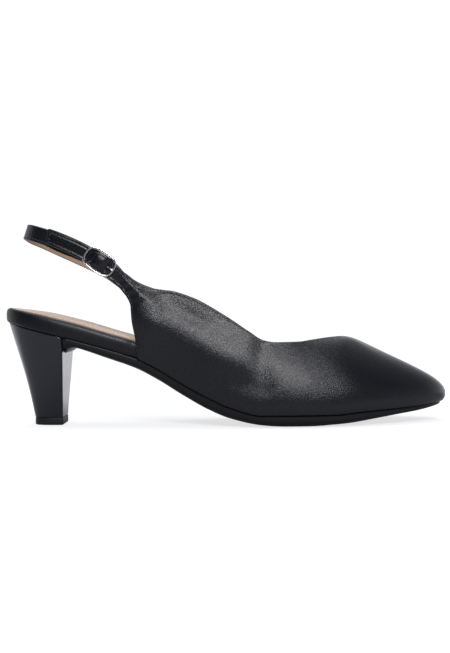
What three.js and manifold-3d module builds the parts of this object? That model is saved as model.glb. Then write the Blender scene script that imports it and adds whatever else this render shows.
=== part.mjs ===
// A slingback pump for the right foot: leather upper with a wavy topline, a strap round the heel that
// buckles on the outer side, a covered block heel and a thin outsole.
// Millimetres. +X points to the toe, -Y to the outer side of the foot, +Z up, the floor is Z = 0.
import * as THREE from "three";
import { mergeVertices } from "three/addons/utils/BufferGeometryUtils.js";
import Module from "manifold-3d";

// Sizes of the whole shoe
const SHOE_LENGTH = 246.4;
const BALL_WIDTH = 75; // of the bottom of the last, at the ball
const SEAT_WIDTH = 52; // of the insole edge, at the heel
const HEEL_HEIGHT = 57.7; // floor to the underside of the insole edge, at the back
const TOE_SPRING = 4.2; // how far the tip of the bottom lifts above the ball
const QUARTER_HEIGHT = 47; // upper above the bottom of the last, at the arch

// Sizes of the pieces
const UPPER_WALL = 1.8;
const SOLE_THICKNESS = 6.6; // at the ball
const SOLE_SETBACK = 0.3; // the outsole's edge inside the bottom of the last
const SOLE_EDGE_ROUND = 8; // width of the soft round under the outsole's edge
const SOLE_LIP_DROP = 5; // the outsole's rear end turns down along the heel breast
const SOLE_LIP_LENGTH = 7.5;
const INSOLE_EDGE = 8.8; // height of the covered edge that shows at the heel
const INSOLE_ROUND = 1.3; // how far the round at its top goes in from its edge
const INSOLE_STEP = 0.9; // the insole steps in where the upper wraps it
const INSOLE_STEP_BACK = 5; // it does so this far behind the upper's rear edge
const INSOLE_TOE_ROOM = 0.9; // and further in at the toe, where the upper curls under
const SOCK_THICKNESS = 1;
const SOCK_SETBACK = 3;
const STRAP_WIDTH = 8.8;
const STRAP_THICKNESS = 1.6;
const HEEL_TIP_WIDTH = 21;
const HEEL_SEAT_SETBACK = 0.8; // the heel inside the insole edge
const TOP_PIECE_THICKNESS = 4;
const TOP_PIECE_ROUND = 0.5; // of its edge at the floor
const TOP_PIECE_PROUD = 0.3; // it stands proud of the heel's breast
const BUCKLE_LENGTH = 18.4;
const BUCKLE_WIDTH = 12.8;
const BUCKLE_WIRE = 1.2;
const BUCKLE_SLOPE = 35; // degrees below level, towards the toe
const DOME_REACH = 5.6; // half the length of the strap's rise over the buckle's bar
const PRONG_WIRE = 1;
const CLEARANCE = 0.3; // between pieces that meet
const RIB_GAP = 4; // between two ribs of the upper's wall, closer at the buckle and the toe

// Places along the shoe, as shares of its length from the back
const BREAST_ALONG = 0.1425; // front face of the heel, at the seat
const BREAST_FOOT_ALONG = 0.1335; // and at the floor
const QUARTER_ALONG = 0.308; // where the rear edge of the upper meets the sole
const FLAT_FROM = 0.58; // the outsole rests on the floor between these two
const FLAT_TO = 0.74;
const STRAP_TURN_FROM = 0.1145;
const STRAP_TURN_TO = 0.18;
const BUCKLE_ALONG = 0.229; // middle of the buckle
const BUCKLE_UP = 0.992; // its height above the bottom of the last, as a share of the quarter's
const BUCKLE_OUT = 0.742; // outer face of the strap there, as a share of half the ball
const WAIST_FROM = 0.3; // the half width that shares are taken of grows from the seat's to the ball's
const WAIST_TO = 0.6;
const TOE_ROOM_FROM = 0.85;
const TOE_ROOM_TO = 0.96;

// The bottom of the last. lateral and medial are shares of half the local width, rise is a share of the
// heel's rise, spring of the toe spring, sole of the outsole's and insole of the insole edge's height.
const BOTTOM = [
  { along: 0.0037, lateral: 0.0, medial: 0.0, rise: 1.0, spring: 0, sole: 0.6, insole: 0.84 },
  { along: 0.0125, lateral: 0.377, medial: 0.377, rise: 0.99, spring: 0, sole: 0.6, insole: 0.88 },
  { along: 0.036, lateral: 0.677, medial: 0.677, rise: 0.965, spring: 0, sole: 0.6, insole: 0.93 },
  { along: 0.07, lateral: 0.869, medial: 0.869, rise: 0.922, spring: 0, sole: 0.6, insole: 0.98 },
  { along: 0.115, lateral: 0.969, medial: 0.969, rise: 0.863, spring: 0, sole: 0.6, insole: 1.02 },
  { along: 0.17, lateral: 1.0, medial: 1.0, rise: 0.796, spring: 0, sole: 0.63, insole: 1.01 },
  { along: 0.24, lateral: 0.992, medial: 0.985, rise: 0.7, spring: 0, sole: 0.79, insole: 0.97 },
  { along: 0.305, lateral: 0.977, medial: 0.955, rise: 0.597, spring: 0, sole: 0.89, insole: 1.0 },
  { along: 0.35, lateral: 0.953, medial: 0.864, rise: 0.491, spring: 0, sole: 0.97, insole: 0.85 },
  { along: 0.4, lateral: 0.939, medial: 0.759, rise: 0.346, spring: 0, sole: 1.01, insole: 0.68 },
  { along: 0.46, lateral: 0.935, medial: 0.706, rise: 0.19, spring: 0, sole: 1.06, insole: 0.55 },
  { along: 0.52, lateral: 0.946, medial: 0.738, rise: 0.065, spring: 0, sole: 1.05, insole: 0.47 },
  { along: FLAT_FROM, lateral: 0.975, medial: 0.835, rise: 0, spring: 0, sole: 1, insole: 0.43 },
  { along: 0.64, lateral: 0.997, medial: 0.95, rise: 0, spring: 0, sole: 1, insole: 0.4 },
  { along: 0.69, lateral: 0.981, medial: 1.003, rise: 0, spring: 0, sole: 1, insole: 0.4 },
  { along: FLAT_TO, lateral: 0.928, medial: 0.997, rise: 0, spring: 0, sole: 1, insole: 0.4 },
  { along: 0.79, lateral: 0.832, medial: 0.939, rise: 0, spring: 0.24, sole: 0.82, insole: 0.4 },
  { along: 0.84, lateral: 0.693, medial: 0.832, rise: 0, spring: 0.4, sole: 0.66, insole: 0.4 },
  { along: 0.89, lateral: 0.512, medial: 0.693, rise: 0, spring: 0.52, sole: 0.59, insole: 0.4 },
  { along: 0.93, lateral: 0.336, medial: 0.565, rise: 0, spring: 0.63, sole: 0.52, insole: 0.4 },
  { along: 0.965, lateral: 0.144, medial: 0.427, rise: 0, spring: 0.79, sole: 0.41, insole: 0.38 },
  { along: 0.985, lateral: -0.016, medial: 0.3, rise: 0, spring: 0.9, sole: 0.33, insole: 0.36 },
  { along: 0.9915, lateral: -0.16, medial: 0.16, rise: 0, spring: 0.95, sole: 0.3, insole: 0.35 },
];

// Ribs of the upper, from the tip of the outer strap forwards to the toe. Each rib runs from the top edge
// to the lower edge. top and low say where along the shoe, out how far from the middle line in shares of
// half the ball, up how far above the bottom of the last in shares of the quarter's height.
// A rib with a lean crosses the strap, which gives its lower end. A rib without lowUp ends on the
// bottom of the last.
const OUTER_RIBS = [
  { top: 0.112, out: 0.624, up: 1.226, lean: 5 },
  { top: 0.1355, out: 0.655, up: 1.213, lean: 18 },
  { top: 0.175, out: 0.697, up: 1.177, lean: 21 },
  { top: 0.206, out: 0.725, up: 1.14, lean: 26 },
  { top: 0.239, out: 0.737, up: 1.089, lean: 34 },
  { top: 0.266, out: 0.742, up: 1.013, lean: 40 },
  { top: 0.303, out: 0.744, up: 0.909, low: 0.276, lowOut: 0.735, lowUp: 0.722 },
  { top: 0.34, out: 0.747, up: 0.911, low: 0.298, lowOut: 0.727, lowUp: 0.566 },
  { top: 0.368, out: 0.752, up: 0.966, low: 0.305, lowOut: 0.717, lowUp: 0.32 },
  { top: 0.386, out: 0.757, up: 1.011, low: QUARTER_ALONG },
  { top: 0.433, out: 0.768, up: 1.07, low: 0.407 },
  { top: 0.502, out: 0.795, up: 1.04, low: 0.516 },
  { top: 0.553, out: 0.811, up: 0.945, low: 0.589 },
  { top: 0.587, out: 0.813, up: 0.857, low: 0.64 },
  { top: 0.612, out: 0.795, up: 0.836, low: 0.679 },
  { top: 0.654, out: 0.731, up: 0.838, low: 0.731 },
  { top: 0.705, out: 0.587, up: 0.86, low: 0.808 },
  { top: 0.7415, out: 0.373, up: 0.87, low: 0.885 },
  { top: 0.764, out: 0.147, up: 0.863, low: 0.95 },
];
const TOE_RIB = { top: 0.771, out: -0.07, up: 0.857, low: 0.9915 };
const INNER_RIBS = [
  { top: 0.212, out: 0.704, up: 1.03, lean: 26 },
  { top: 0.248, out: 0.72, up: 0.966, lean: 32 },
  { top: 0.289, out: 0.731, up: 0.89, low: 0.265, lowOut: 0.715, lowUp: 0.7 },
  { top: 0.33, out: 0.736, up: 0.89, low: 0.291, lowOut: 0.7, lowUp: 0.549 },
  { top: 0.364, out: 0.736, up: 0.932, low: 0.303, lowOut: 0.69, lowUp: 0.31 },
  { top: 0.386, out: 0.736, up: 0.97, low: QUARTER_ALONG },
  { top: 0.439, out: 0.731, up: 1.026, low: 0.407 },
  { top: 0.496, out: 0.741, up: 1.0, low: 0.492 },
  { top: 0.545, out: 0.773, up: 0.905, low: 0.569 },
  { top: 0.585, out: 0.8, up: 0.817, low: 0.634 },
  { top: 0.626, out: 0.811, up: 0.781, low: 0.695 },
  { top: 0.67, out: 0.763, up: 0.796, low: 0.756 },
  { top: 0.711, out: 0.651, up: 0.83, low: 0.821 },
  { top: 0.7435, out: 0.469, up: 0.855, low: 0.886 },
  { top: 0.764, out: 0.267, up: 0.859, low: 0.946 },
];

// How the wall swells on its way down, at places along its lower end. crown, bow and belly push it out
// near its top, at its shoulder and near its foot, in shares of half the ball. drop and rise say how far
// from its ends crown and belly lie, and shoulder how far down the bow lies, in shares of its height.
const SWELL = [
  { low: 0.0, crown: 0, drop: 0.25, shoulder: 0.5, bow: 0, belly: 0, rise: 0.25 },
  { low: 0.2, crown: 0, drop: 0.25, shoulder: 0.5, bow: 0.01, belly: 0.02, rise: 0.25 },
  { low: QUARTER_ALONG, crown: 0, drop: 0.25, shoulder: 0.5, bow: 0.025, belly: 0.05, rise: 0.22 },
  { low: 0.41, crown: 0.01, drop: 0.25, shoulder: 0.5, bow: 0.05, belly: 0.07, rise: 0.2 },
  { low: 0.55, crown: 0.05, drop: 0.22, shoulder: 0.5, bow: 0.1, belly: 0.07, rise: 0.2 },
  { low: 0.68, crown: 0.13, drop: 0.18, shoulder: 0.5, bow: 0.15, belly: 0.08, rise: 0.2 },
  { low: 0.8, crown: 0.22, drop: 0.1, shoulder: 0.45, bow: 0.13, belly: 0.14, rise: 0.26 },
  { low: 0.9, crown: 0.3, drop: 0.03, shoulder: 0.39, bow: 0.03, belly: 0.22, rise: 0.33 },
  { low: 0.96, crown: 0.32, drop: 0, shoulder: 0.36, bow: -0.05, belly: 0.29, rise: 0.39 },
  { low: 0.9915, crown: 0.32, drop: 0, shoulder: 0.35, bow: -0.07, belly: 0.33, rise: 0.41 },
];

// The middle line of the strap's outer face, from its inner end round the heel to the buckle.
// out is a share of strapHalf there, negative on the outer side, and lean tips the strap's top inwards.
const STRAP = [
  { along: 0.265, out: 0.652, up: 0.815, lean: 0 },
  { along: 0.232, out: 0.648, up: 0.89, lean: 0 },
  { along: 0.2, out: 0.641, up: 0.932, lean: 2 },
  { along: 0.159, out: 0.678, up: 0.978, lean: 4 },
  { along: 0.1145, out: 0.83, up: 1.028, lean: 7 },
  { along: 0.08, out: 0.645, up: 1.065, lean: 12 },
  { along: 0.0565, out: 0.33, up: 1.09, lean: 17 },
  { along: 0.05, out: 0.0, up: 1.115, lean: 19 },
  { along: 0.0555, out: -0.33, up: 1.12, lean: 17 },
  { along: 0.0755, out: -0.64, up: 1.122, lean: 12 },
  { along: 0.1055, out: -0.79, up: 1.115, lean: 7 },
  { along: 0.142, out: -0.736, up: 1.072, lean: 4 },
  { along: 0.18, out: -0.638, up: 1.043, lean: 2 },
  { along: 0.205, out: -0.652, up: 1.02, lean: 0 },
  { along: 0.219, out: -0.666, up: 1.0, lean: 0 },
  { along: 0.2275, out: -0.707, up: 0.986, lean: 0 },
  { along: 0.232, out: -0.7185, up: 0.98, lean: 0 },
];

// The heel block, from the seat down. back is a share of the length from the back of the shoe, and
// square says how far its outline has gone from an ellipse to a rounded D.
const HEEL_LEVELS = [
  { down: 0, back: 0.0092, square: 0 },
  { down: 0.11, back: 0.0169, square: 0.1 },
  { down: 0.3, back: 0.0302, square: 0.3 },
  { down: 0.5, back: 0.0434, square: 0.5 },
  { down: 0.74, back: 0.0562, square: 0.75 },
  { down: 1, back: 0.0669, square: 1 },
];

// A curve that follows the values in one column of a table, without overshooting them.
function follow(places, values, place) {
  const last = places.length - 1;
  let i = 0;
  while (i < last - 1 && place > places[i + 1]) i += 1;
  const slope = (k) => (values[k + 1] - values[k]) / (places[k + 1] - places[k]);
  const tangent = (k) => {
    if (k === 0) return slope(0);
    if (k === last) return slope(last - 1);
    const before = slope(k - 1);
    const after = slope(k);
    if (before * after <= 0) return 0;
    const wBefore = places[k] - places[k - 1];
    const wAfter = places[k + 1] - places[k];
    const a = 2 * wAfter + wBefore;
    const b = wAfter + 2 * wBefore;
    return (a + b) / (a / before + b / after);
  };
  const width = places[i + 1] - places[i];
  const u = THREE.MathUtils.clamp((place - places[i]) / width, 0, 1);
  const ease = u * u * (3 - 2 * u);
  const start = u * (1 - u) * (1 - u) * width * tangent(i);
  const end = u * u * (1 - u) * width * tangent(i + 1);
  return values[i] + (values[i + 1] - values[i]) * ease + start - end;
}

const columnOf = (rows, key, by) => {
  const places = rows.map((row) => row[by]);
  const values = rows.map((row) => row[key]);
  return (place) => follow(places, values, place);
};

const toX = (along) => (along - 0.5) * SHOE_LENGTH;
const toAlong = (x) => x / SHOE_LENGTH + 0.5;
const halfBall = BALL_WIDTH / 2;
const halfSeat = SEAT_WIDTH / 2;
const riseAt = columnOf(BOTTOM, "rise", "along");
const springAt = columnOf(BOTTOM, "spring", "along");
const soleAt = columnOf(BOTTOM, "sole", "along");
const insoleAt = columnOf(BOTTOM, "insole", "along");

// Half the width that the shares of the bottom table are taken of
function halfWidthAt(along) {
  const t = THREE.MathUtils.smoothstep(along, WAIST_FROM, WAIST_TO);
  return THREE.MathUtils.lerp(halfSeat, halfBall, t);
}

// Height of the bottom of the last above the floor
function bottomZ(x) {
  const along = toAlong(x);
  return SOLE_THICKNESS + riseAt(along) * (HEEL_HEIGHT - SOLE_THICKNESS) + springAt(along) * TOE_SPRING;
}

// The outline of the last's bottom, as one closed curve from the back of the heel along the outer side
// to the toe and back along the inner side.
const outline = (() => {
  const outer = BOTTOM.map((r) => new THREE.Vector3(toX(r.along), -r.lateral * halfWidthAt(r.along), 0));
  const inner = BOTTOM.map((r) => new THREE.Vector3(toX(r.along), r.medial * halfWidthAt(r.along), 0));
  const points = [...outer, ...inner.slice(1, -1).reverse()];
  const curve = new THREE.CatmullRomCurve3(points, true, "centripetal");
  curve.arcLengthDivisions = 20 * points.length;
  const lengths = curve.getLengths();
  const tip = lengths[20 * (BOTTOM.length - 1)] / lengths[lengths.length - 1];
  return { curve, tip };
})();

// How far round one side of the outline x lies: 0 at the back of the heel, 1 at the tip of the toe
function roundAt(side, x) {
  const tiny = 1e-6;
  if (x < toX(BOTTOM[0].along) + tiny) return 0;
  if (x > toX(BOTTOM[BOTTOM.length - 1].along) - tiny) return 1;
  let low = 0;
  let high = 1;
  for (let i = 0; i < 40; i += 1) {
    const middle = (low + high) / 2;
    if (outline.curve.getPointAt(sideShare(side, middle)).x < x) low = middle;
    else high = middle;
  }
  return high;
}

const sideShare = (side, round) => (side < 0 ? round * outline.tip : 1 - round * (1 - outline.tip));

// The point of the outline that far round one side, moved out by grow, with its outward direction
function roundPoint(side, round, grow = 0) {
  const t = sideShare(side, round);
  const step = 2e-4;
  const before = outline.curve.getPointAt((t + 1 - step) % 1);
  const tangent = outline.curve.getPointAt((t + step) % 1).sub(before);
  const outward = new THREE.Vector3(tangent.y, -tangent.x, 0).normalize();
  return { point: outline.curve.getPointAt(t % 1).addScaledVector(outward, grow), outward };
}

// The same for the point at x
const edgePoint = (side, x, grow = 0) => roundPoint(side, roundAt(side, x), grow);

// A closed solid from loose triangles, turned so that its faces point out
function solidFrom(triangles) {
  const flat = [];
  const volume = triangles.reduce((sum, [a, b, c]) => sum + a.dot(b.clone().cross(c)) / 6, 0);
  for (const [a, b, c] of triangles) {
    const area = b.clone().sub(a).cross(c.clone().sub(a)).length();
    const corners = volume < 0 ? [a, c, b] : [a, b, c];
    if (area > 1e-9) corners.forEach((p) => flat.push(p.x, p.y, p.z));
  }
  const geometry = new THREE.BufferGeometry();
  geometry.setAttribute("position", new THREE.Float32BufferAttribute(flat, 3));
  return mergeVertices(geometry, 1e-3);
}

function addQuad(triangles, a, b, c, d) {
  triangles.push([a, b, c], [a, c, d]);
}

// A slab that follows the outline from one x to another. Each ring has a height between the underside
// (0) and the top (1), and a setback from the outline.
function slab({ from, to, steps, roundBack, roundFront, rings, under, over, setbackAt = () => 0 }) {
  const stations = Array.from({ length: steps + 1 }, (_, i) => {
    let t = i / steps;
    if (roundBack && roundFront) t = (1 - Math.cos(Math.PI * t)) / 2;
    else if (roundFront) t = Math.sin((Math.PI / 2) * t);
    return THREE.MathUtils.lerp(from, to, t);
  });
  const place = (side, x, ring) => {
    const p = edgePoint(side, x, -ring.setback - setbackAt(x)).point;
    if (!roundBack && p.x < from) p.x = from;
    p.z = THREE.MathUtils.lerp(under(p.x), over(p.x), ring.height);
    return p;
  };
  const outer = rings.map((ring) => stations.map((x) => place(-1, x, ring)));
  const inner = rings.map((ring) => stations.map((x) => place(1, x, ring)));
  const triangles = [];
  for (let i = 0; i < steps; i += 1) {
    addQuad(triangles, outer[0][i], inner[0][i], inner[0][i + 1], outer[0][i + 1]);
    const top = rings.length - 1;
    addQuad(triangles, outer[top][i], outer[top][i + 1], inner[top][i + 1], inner[top][i]);
    for (let k = 0; k < top; k += 1) {
      addQuad(triangles, outer[k][i], outer[k][i + 1], outer[k + 1][i + 1], outer[k + 1][i]);
      addQuad(triangles, inner[k][i], inner[k + 1][i], inner[k + 1][i + 1], inner[k][i + 1]);
    }
  }
  if (!roundBack) {
    for (let k = 0; k < rings.length - 1; k += 1) {
      addQuad(triangles, outer[k][0], outer[k + 1][0], inner[k + 1][0], inner[k][0]);
    }
  }
  return solidFrom(triangles);
}

// A wall of even thickness behind a grid of points: grid[i][j] runs along i and down j.
function wallBehind(grid, thickness) {
  const rows = grid.length;
  const columns = grid[0].length;
  const normalAt = (i, j) => {
    const along = grid[Math.min(i + 1, rows - 1)][j].clone().sub(grid[Math.max(i - 1, 0)][j]);
    const down = grid[i][Math.min(j + 1, columns - 1)].clone().sub(grid[i][Math.max(j - 1, 0)]);
    return down.cross(along).normalize();
  };
  const behind = (p, i, j) => p.clone().addScaledVector(normalAt(i, j), -thickness);
  const back = grid.map((line, i) => line.map((p, j) => behind(p, i, j)));
  const triangles = [];
  for (let i = 0; i < rows - 1; i += 1) {
    for (let j = 0; j < columns - 1; j += 1) {
      addQuad(triangles, grid[i][j], grid[i][j + 1], grid[i + 1][j + 1], grid[i + 1][j]);
      addQuad(triangles, back[i][j], back[i + 1][j], back[i + 1][j + 1], back[i][j + 1]);
    }
    const end = columns - 1;
    addQuad(triangles, grid[i][0], grid[i + 1][0], back[i + 1][0], back[i][0]);
    addQuad(triangles, grid[i][end], back[i][end], back[i + 1][end], grid[i + 1][end]);
  }
  for (let j = 0; j < columns - 1; j += 1) {
    const end = rows - 1;
    addQuad(triangles, grid[0][j], back[0][j], back[0][j + 1], grid[0][j + 1]);
    addQuad(triangles, grid[end][j], grid[end][j + 1], back[end][j + 1], back[end][j]);
  }
  return solidFrom(triangles);
}

// A ring or rod: sections of equal length joined in order, closed into a ring or capped at both ends.
function loft(sections, closed) {
  const triangles = [];
  const count = sections[0].length;
  const turns = closed ? sections.length : sections.length - 1;
  for (let i = 0; i < turns; i += 1) {
    const next = (i + 1) % sections.length;
    for (let j = 0; j < count; j += 1) {
      const k = (j + 1) % count;
      addQuad(triangles, sections[i][j], sections[i][k], sections[next][k], sections[next][j]);
    }
  }
  if (!closed) {
    const first = sections[0];
    const last = sections[sections.length - 1];
    for (let j = 1; j < count - 1; j += 1) {
      triangles.push([first[0], first[j + 1], first[j]]);
      triangles.push([last[0], last[j], last[j + 1]]);
    }
  }
  return solidFrom(triangles);
}

const wasm = await Module();
wasm.setup();

function toManifold(geometry) {
  const merged = mergeVertices(geometry, 1e-3);
  return new wasm.Manifold(
    new wasm.Mesh({
      numProp: 3,
      vertProperties: new Float32Array(merged.attributes.position.array),
      triVerts: new Uint32Array(merged.index.array),
    }),
  );
}

function toGeometry(manifold) {
  const mesh = manifold.getMesh();
  const geometry = new THREE.BufferGeometry();
  geometry.setAttribute("position", new THREE.Float32BufferAttribute(mesh.vertProperties, 3));
  geometry.setIndex(new THREE.Uint32BufferAttribute(mesh.triVerts, 1));
  return geometry;
}

// The buckle's own frame: its middle, the way the strap runs through it, across the strap, and out
const buckle = (() => {
  const slope = THREE.MathUtils.degToRad(BUCKLE_SLOPE);
  const run = new THREE.Vector3(Math.cos(slope), 0, -Math.sin(slope));
  const across = new THREE.Vector3(Math.sin(slope), 0, Math.cos(slope));
  const out = new THREE.Vector3(0, -1, 0);
  const x = toX(BUCKLE_ALONG);
  const ringOut = BUCKLE_OUT * halfBall + CLEARANCE + BUCKLE_WIRE / 2;
  const centre = new THREE.Vector3(x, -ringOut, bottomZ(x) + BUCKLE_UP * QUARTER_HEIGHT);
  return { run, across, out, centre };
})();

// The strap of the upper rises over the buckle's bar between the two ends of its ring.
function domeOver(point) {
  const s = point.clone().sub(buckle.centre).dot(buckle.run) / DOME_REACH;
  if (Math.abs(s) >= 1) return 0;
  const height = BUCKLE_WIRE + 3 * CLEARANCE + UPPER_WALL;
  return height * (1 - s * s) ** 2;
}

// The upper's ribs as points in space: the strap rib's lower end lies one strap width away, the ribs of
// the quarter's rear edge state theirs, and the others stand on the bottom of the last.
function ribPoints(row, side) {
  const x = toX(row.top);
  const top = new THREE.Vector3(x, side * row.out * halfBall, bottomZ(x) + row.up * QUARTER_HEIGHT);
  let low;
  if (row.lean !== undefined) {
    const lean = THREE.MathUtils.degToRad(row.lean);
    low = top.clone().add(new THREE.Vector3(-Math.sin(lean), 0, -Math.cos(lean)).multiplyScalar(STRAP_WIDTH));
  } else if (row.lowUp !== undefined) {
    const lowX = toX(row.low);
    low = new THREE.Vector3(lowX, side * row.lowOut * halfBall, bottomZ(lowX) + row.lowUp * QUARTER_HEIGHT);
  } else {
    low = footAt(side, roundAt(side, toX(row.low))).low;
  }
  return { top, low };
}

// Where the outer face of the upper meets the sole
function footAt(side, round) {
  const { point, outward } = roundPoint(side, round, UPPER_WALL + CLEARANCE - INSOLE_STEP);
  point.z = bottomZ(point.x);
  return { low: point, outward, along: toAlong(roundPoint(side, round).point.x) };
}

// One side of the upper as a list of ribs, each a list of points from the top edge to the lower edge
function sideOfUpper(rows, side, pointsDown) {
  const ends = [...rows.map((row) => ribPoints(row, side)), ribPoints(TOE_RIB, side)];
  ends[ends.length - 1].top.y = ribPoints(TOE_RIB, -1).top.y;
  const stations = [0];
  for (let i = 1; i < ends.length; i += 1) {
    const gap = ends[i].top.distanceTo(ends[i - 1].top) + ends[i].low.distanceTo(ends[i - 1].low);
    stations.push(stations[i - 1] + gap / 2);
  }
  const corner = rows.findIndex((row) => row.low === QUARTER_ALONG);
  const feet = rows.slice(corner).map((row) => roundAt(side, toX(row.low)));
  feet.push(1);
  const alongTable = (pick, at) => follow(stations, ends.map(pick), at);
  const rearTable = (pick, at) => {
    const rear = ends.slice(0, corner + 1);
    return follow(stations.slice(0, corner + 1), rear.map(pick), at);
  };
  const ribs = [];
  for (let i = 0; i < ends.length - 1; i += 1) {
    const fromBuckle = Math.abs((ends[i].top.x + ends[i + 1].top.x) / 2 - buckle.centre.x);
    let gap = side < 0 && fromBuckle < BUCKLE_LENGTH / 2 ? RIB_GAP / 2 : RIB_GAP;
    if (i > ends.length - 4) gap = 0.7 * RIB_GAP;
    const steps = Math.max(2, Math.round((stations[i + 1] - stations[i]) / gap));
    for (let k = 0; k < steps; k += 1) {
      ribs.push(THREE.MathUtils.lerp(stations[i], stations[i + 1], k / steps));
    }
  }
  ribs.push(stations[stations.length - 1]);
  return ribs.map((at) => {
    const top = new THREE.Vector3(
      alongTable((e) => e.top.x, at),
      alongTable((e) => e.top.y, at),
      alongTable((e) => e.top.z, at),
    );
    if (at >= stations[corner]) {
      const foot = footAt(side, follow(stations.slice(corner), feet, at));
      return ribCurve(top, foot.low, foot.outward, foot.along, pointsDown);
    }
    const low = new THREE.Vector3(
      rearTable((e) => e.low.x, at),
      rearTable((e) => e.low.y, at),
      rearTable((e) => e.low.z, at),
    );
    const upFromSole = (low.z - bottomZ(low.x)) / QUARTER_HEIGHT;
    const along = QUARTER_ALONG * (1 - THREE.MathUtils.clamp(upFromSole, 0, 1));
    return ribCurve(top, low, new THREE.Vector3(0, side, 0), along, pointsDown);
  });
}

function ribCurve(top, low, outward, foot, pointsDown) {
  const swell = (key) => columnOf(SWELL, key, "low")(foot);
  const height = top.z - low.z;
  const up = new THREE.Vector3(0, 0, height);
  const towardsLow = low.clone().sub(top).setZ(0).addScaledVector(outward, 0.13 * halfBall).normalize();
  const pushed = (point, direction, share) => point.clone().addScaledVector(direction, share * halfBall);
  const crown = pushed(top, towardsLow, swell("crown")).addScaledVector(up, -swell("drop"));
  const shoulder = pushed(top.clone().lerp(low, swell("shoulder")), outward, swell("bow"));
  const belly = pushed(low, outward, swell("belly")).addScaledVector(up, swell("rise"));
  const control = [top, crown, shoulder, belly, low];
  const weights = [1, 4, 6, 4, 1];
  return Array.from({ length: pointsDown }, (_, j) => {
    const t = 1 - (1 - j / (pointsDown - 1)) ** 1.3;
    const point = new THREE.Vector3();
    control.forEach((c, k) => point.addScaledVector(c, weights[k] * (1 - t) ** (4 - k) * t ** k));
    point.addScaledVector(buckle.out, domeOver(point) * (point.y < 0 ? 1 : 0));
    return point;
  });
}

function makeUpper() {
  const pointsDown = 10;
  const outer = sideOfUpper(OUTER_RIBS, -1, pointsDown);
  const inner = sideOfUpper(INNER_RIBS, 1, pointsDown);
  return wallBehind([...outer, ...inner.slice(0, -1).reverse()], UPPER_WALL);
}

function makeOutsole() {
  const from = toX(BREAST_ALONG) + CLEARANCE;
  const lip = (x) => SOLE_LIP_DROP * Math.max(0, 1 - (x - from) / SOLE_LIP_LENGTH) ** 2;
  return slab({
    from,
    to: toX(TOE_RIB.low),
    steps: 46,
    roundFront: true,
    rings: [
      { height: 0, setback: SOLE_SETBACK + SOLE_EDGE_ROUND },
      { height: 0.11, setback: SOLE_SETBACK + 0.42 * SOLE_EDGE_ROUND },
      { height: 0.28, setback: SOLE_SETBACK + 0.11 * SOLE_EDGE_ROUND },
      { height: 0.5, setback: SOLE_SETBACK },
      { height: 1, setback: SOLE_SETBACK },
    ],
    under: (x) => bottomZ(x) - soleAt(toAlong(x)) * SOLE_THICKNESS - lip(x),
    over: (x) => bottomZ(x) - CLEARANCE,
  });
}

const insoleTop = (x) => bottomZ(x) + insoleAt(toAlong(x)) * INSOLE_EDGE;

function makeInsole() {
  const stepX = toX(QUARTER_ALONG) - INSOLE_STEP_BACK;
  return slab({
    from: toX(BOTTOM[0].along),
    to: toX(TOE_RIB.low),
    steps: 52,
    roundBack: true,
    roundFront: true,
    rings: [
      { height: 0, setback: 0.77 * INSOLE_ROUND },
      { height: 0.14, setback: 0.12 * INSOLE_ROUND },
      { height: 0.5, setback: 0 },
      { height: 0.82, setback: 0.19 * INSOLE_ROUND },
      { height: 1, setback: INSOLE_ROUND },
    ],
    under: bottomZ,
    over: insoleTop,
    setbackAt: (x) => {
      const toeRoom = THREE.MathUtils.smoothstep(toAlong(x), TOE_ROOM_FROM, TOE_ROOM_TO) * INSOLE_TOE_ROOM;
      return x > stepX ? INSOLE_STEP + toeRoom : 0;
    },
  });
}

function makeSock() {
  return slab({
    from: toX(BOTTOM[0].along),
    to: toX(TOE_RIB.low),
    steps: 52,
    roundBack: true,
    roundFront: true,
    rings: [
      { height: 0, setback: SOCK_SETBACK },
      { height: 0.5, setback: SOCK_SETBACK + 0.1 * SOCK_THICKNESS },
      { height: 1, setback: SOCK_SETBACK + 0.7 * SOCK_THICKNESS },
    ],
    under: (x) => insoleTop(x) + CLEARANCE,
    over: (x) => insoleTop(x) + CLEARANCE + SOCK_THICKNESS,
  });
}

// One level of the heel: a rounded D with its flat side to the front
function heelOutline(back, front, halfWidth, square) {
  const power = 2 / THREE.MathUtils.lerp(2, 3.2, square);
  const steps = 16;
  return Array.from({ length: steps + 1 }, (_, i) => {
    const angle = (Math.PI * i) / steps - Math.PI / 2;
    const depth = Math.cos(angle) ** power;
    const aside = Math.sign(Math.sin(angle)) * Math.abs(Math.sin(angle)) ** power;
    return new THREE.Vector2(front - (front - back) * depth, -aside * halfWidth);
  });
}

function makeHeel() {
  const frontAt = (down) => toX(THREE.MathUtils.lerp(BREAST_ALONG, BREAST_FOOT_ALONG, down));
  const backAt = columnOf(HEEL_LEVELS, "back", "down");
  const squareAt = columnOf(HEEL_LEVELS, "square", "down");
  const foot = TOP_PIECE_THICKNESS + CLEARANCE;
  const topHalf = halfSeat - HEEL_SEAT_SETBACK;
  const levels = 10;
  const sections = Array.from({ length: levels + 1 }, (_, i) => {
    const down = i / levels;
    const half = THREE.MathUtils.lerp(topHalf, HEEL_TIP_WIDTH / 2, down);
    const outlinePoints = heelOutline(toX(backAt(down)), frontAt(down), half, squareAt(down));
    return outlinePoints.map((p) => {
      const z = THREE.MathUtils.lerp(bottomZ(p.x) - CLEARANCE, foot, down);
      return new THREE.Vector3(p.x, p.y, z);
    });
  });
  return loft(sections, false);
}

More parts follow.
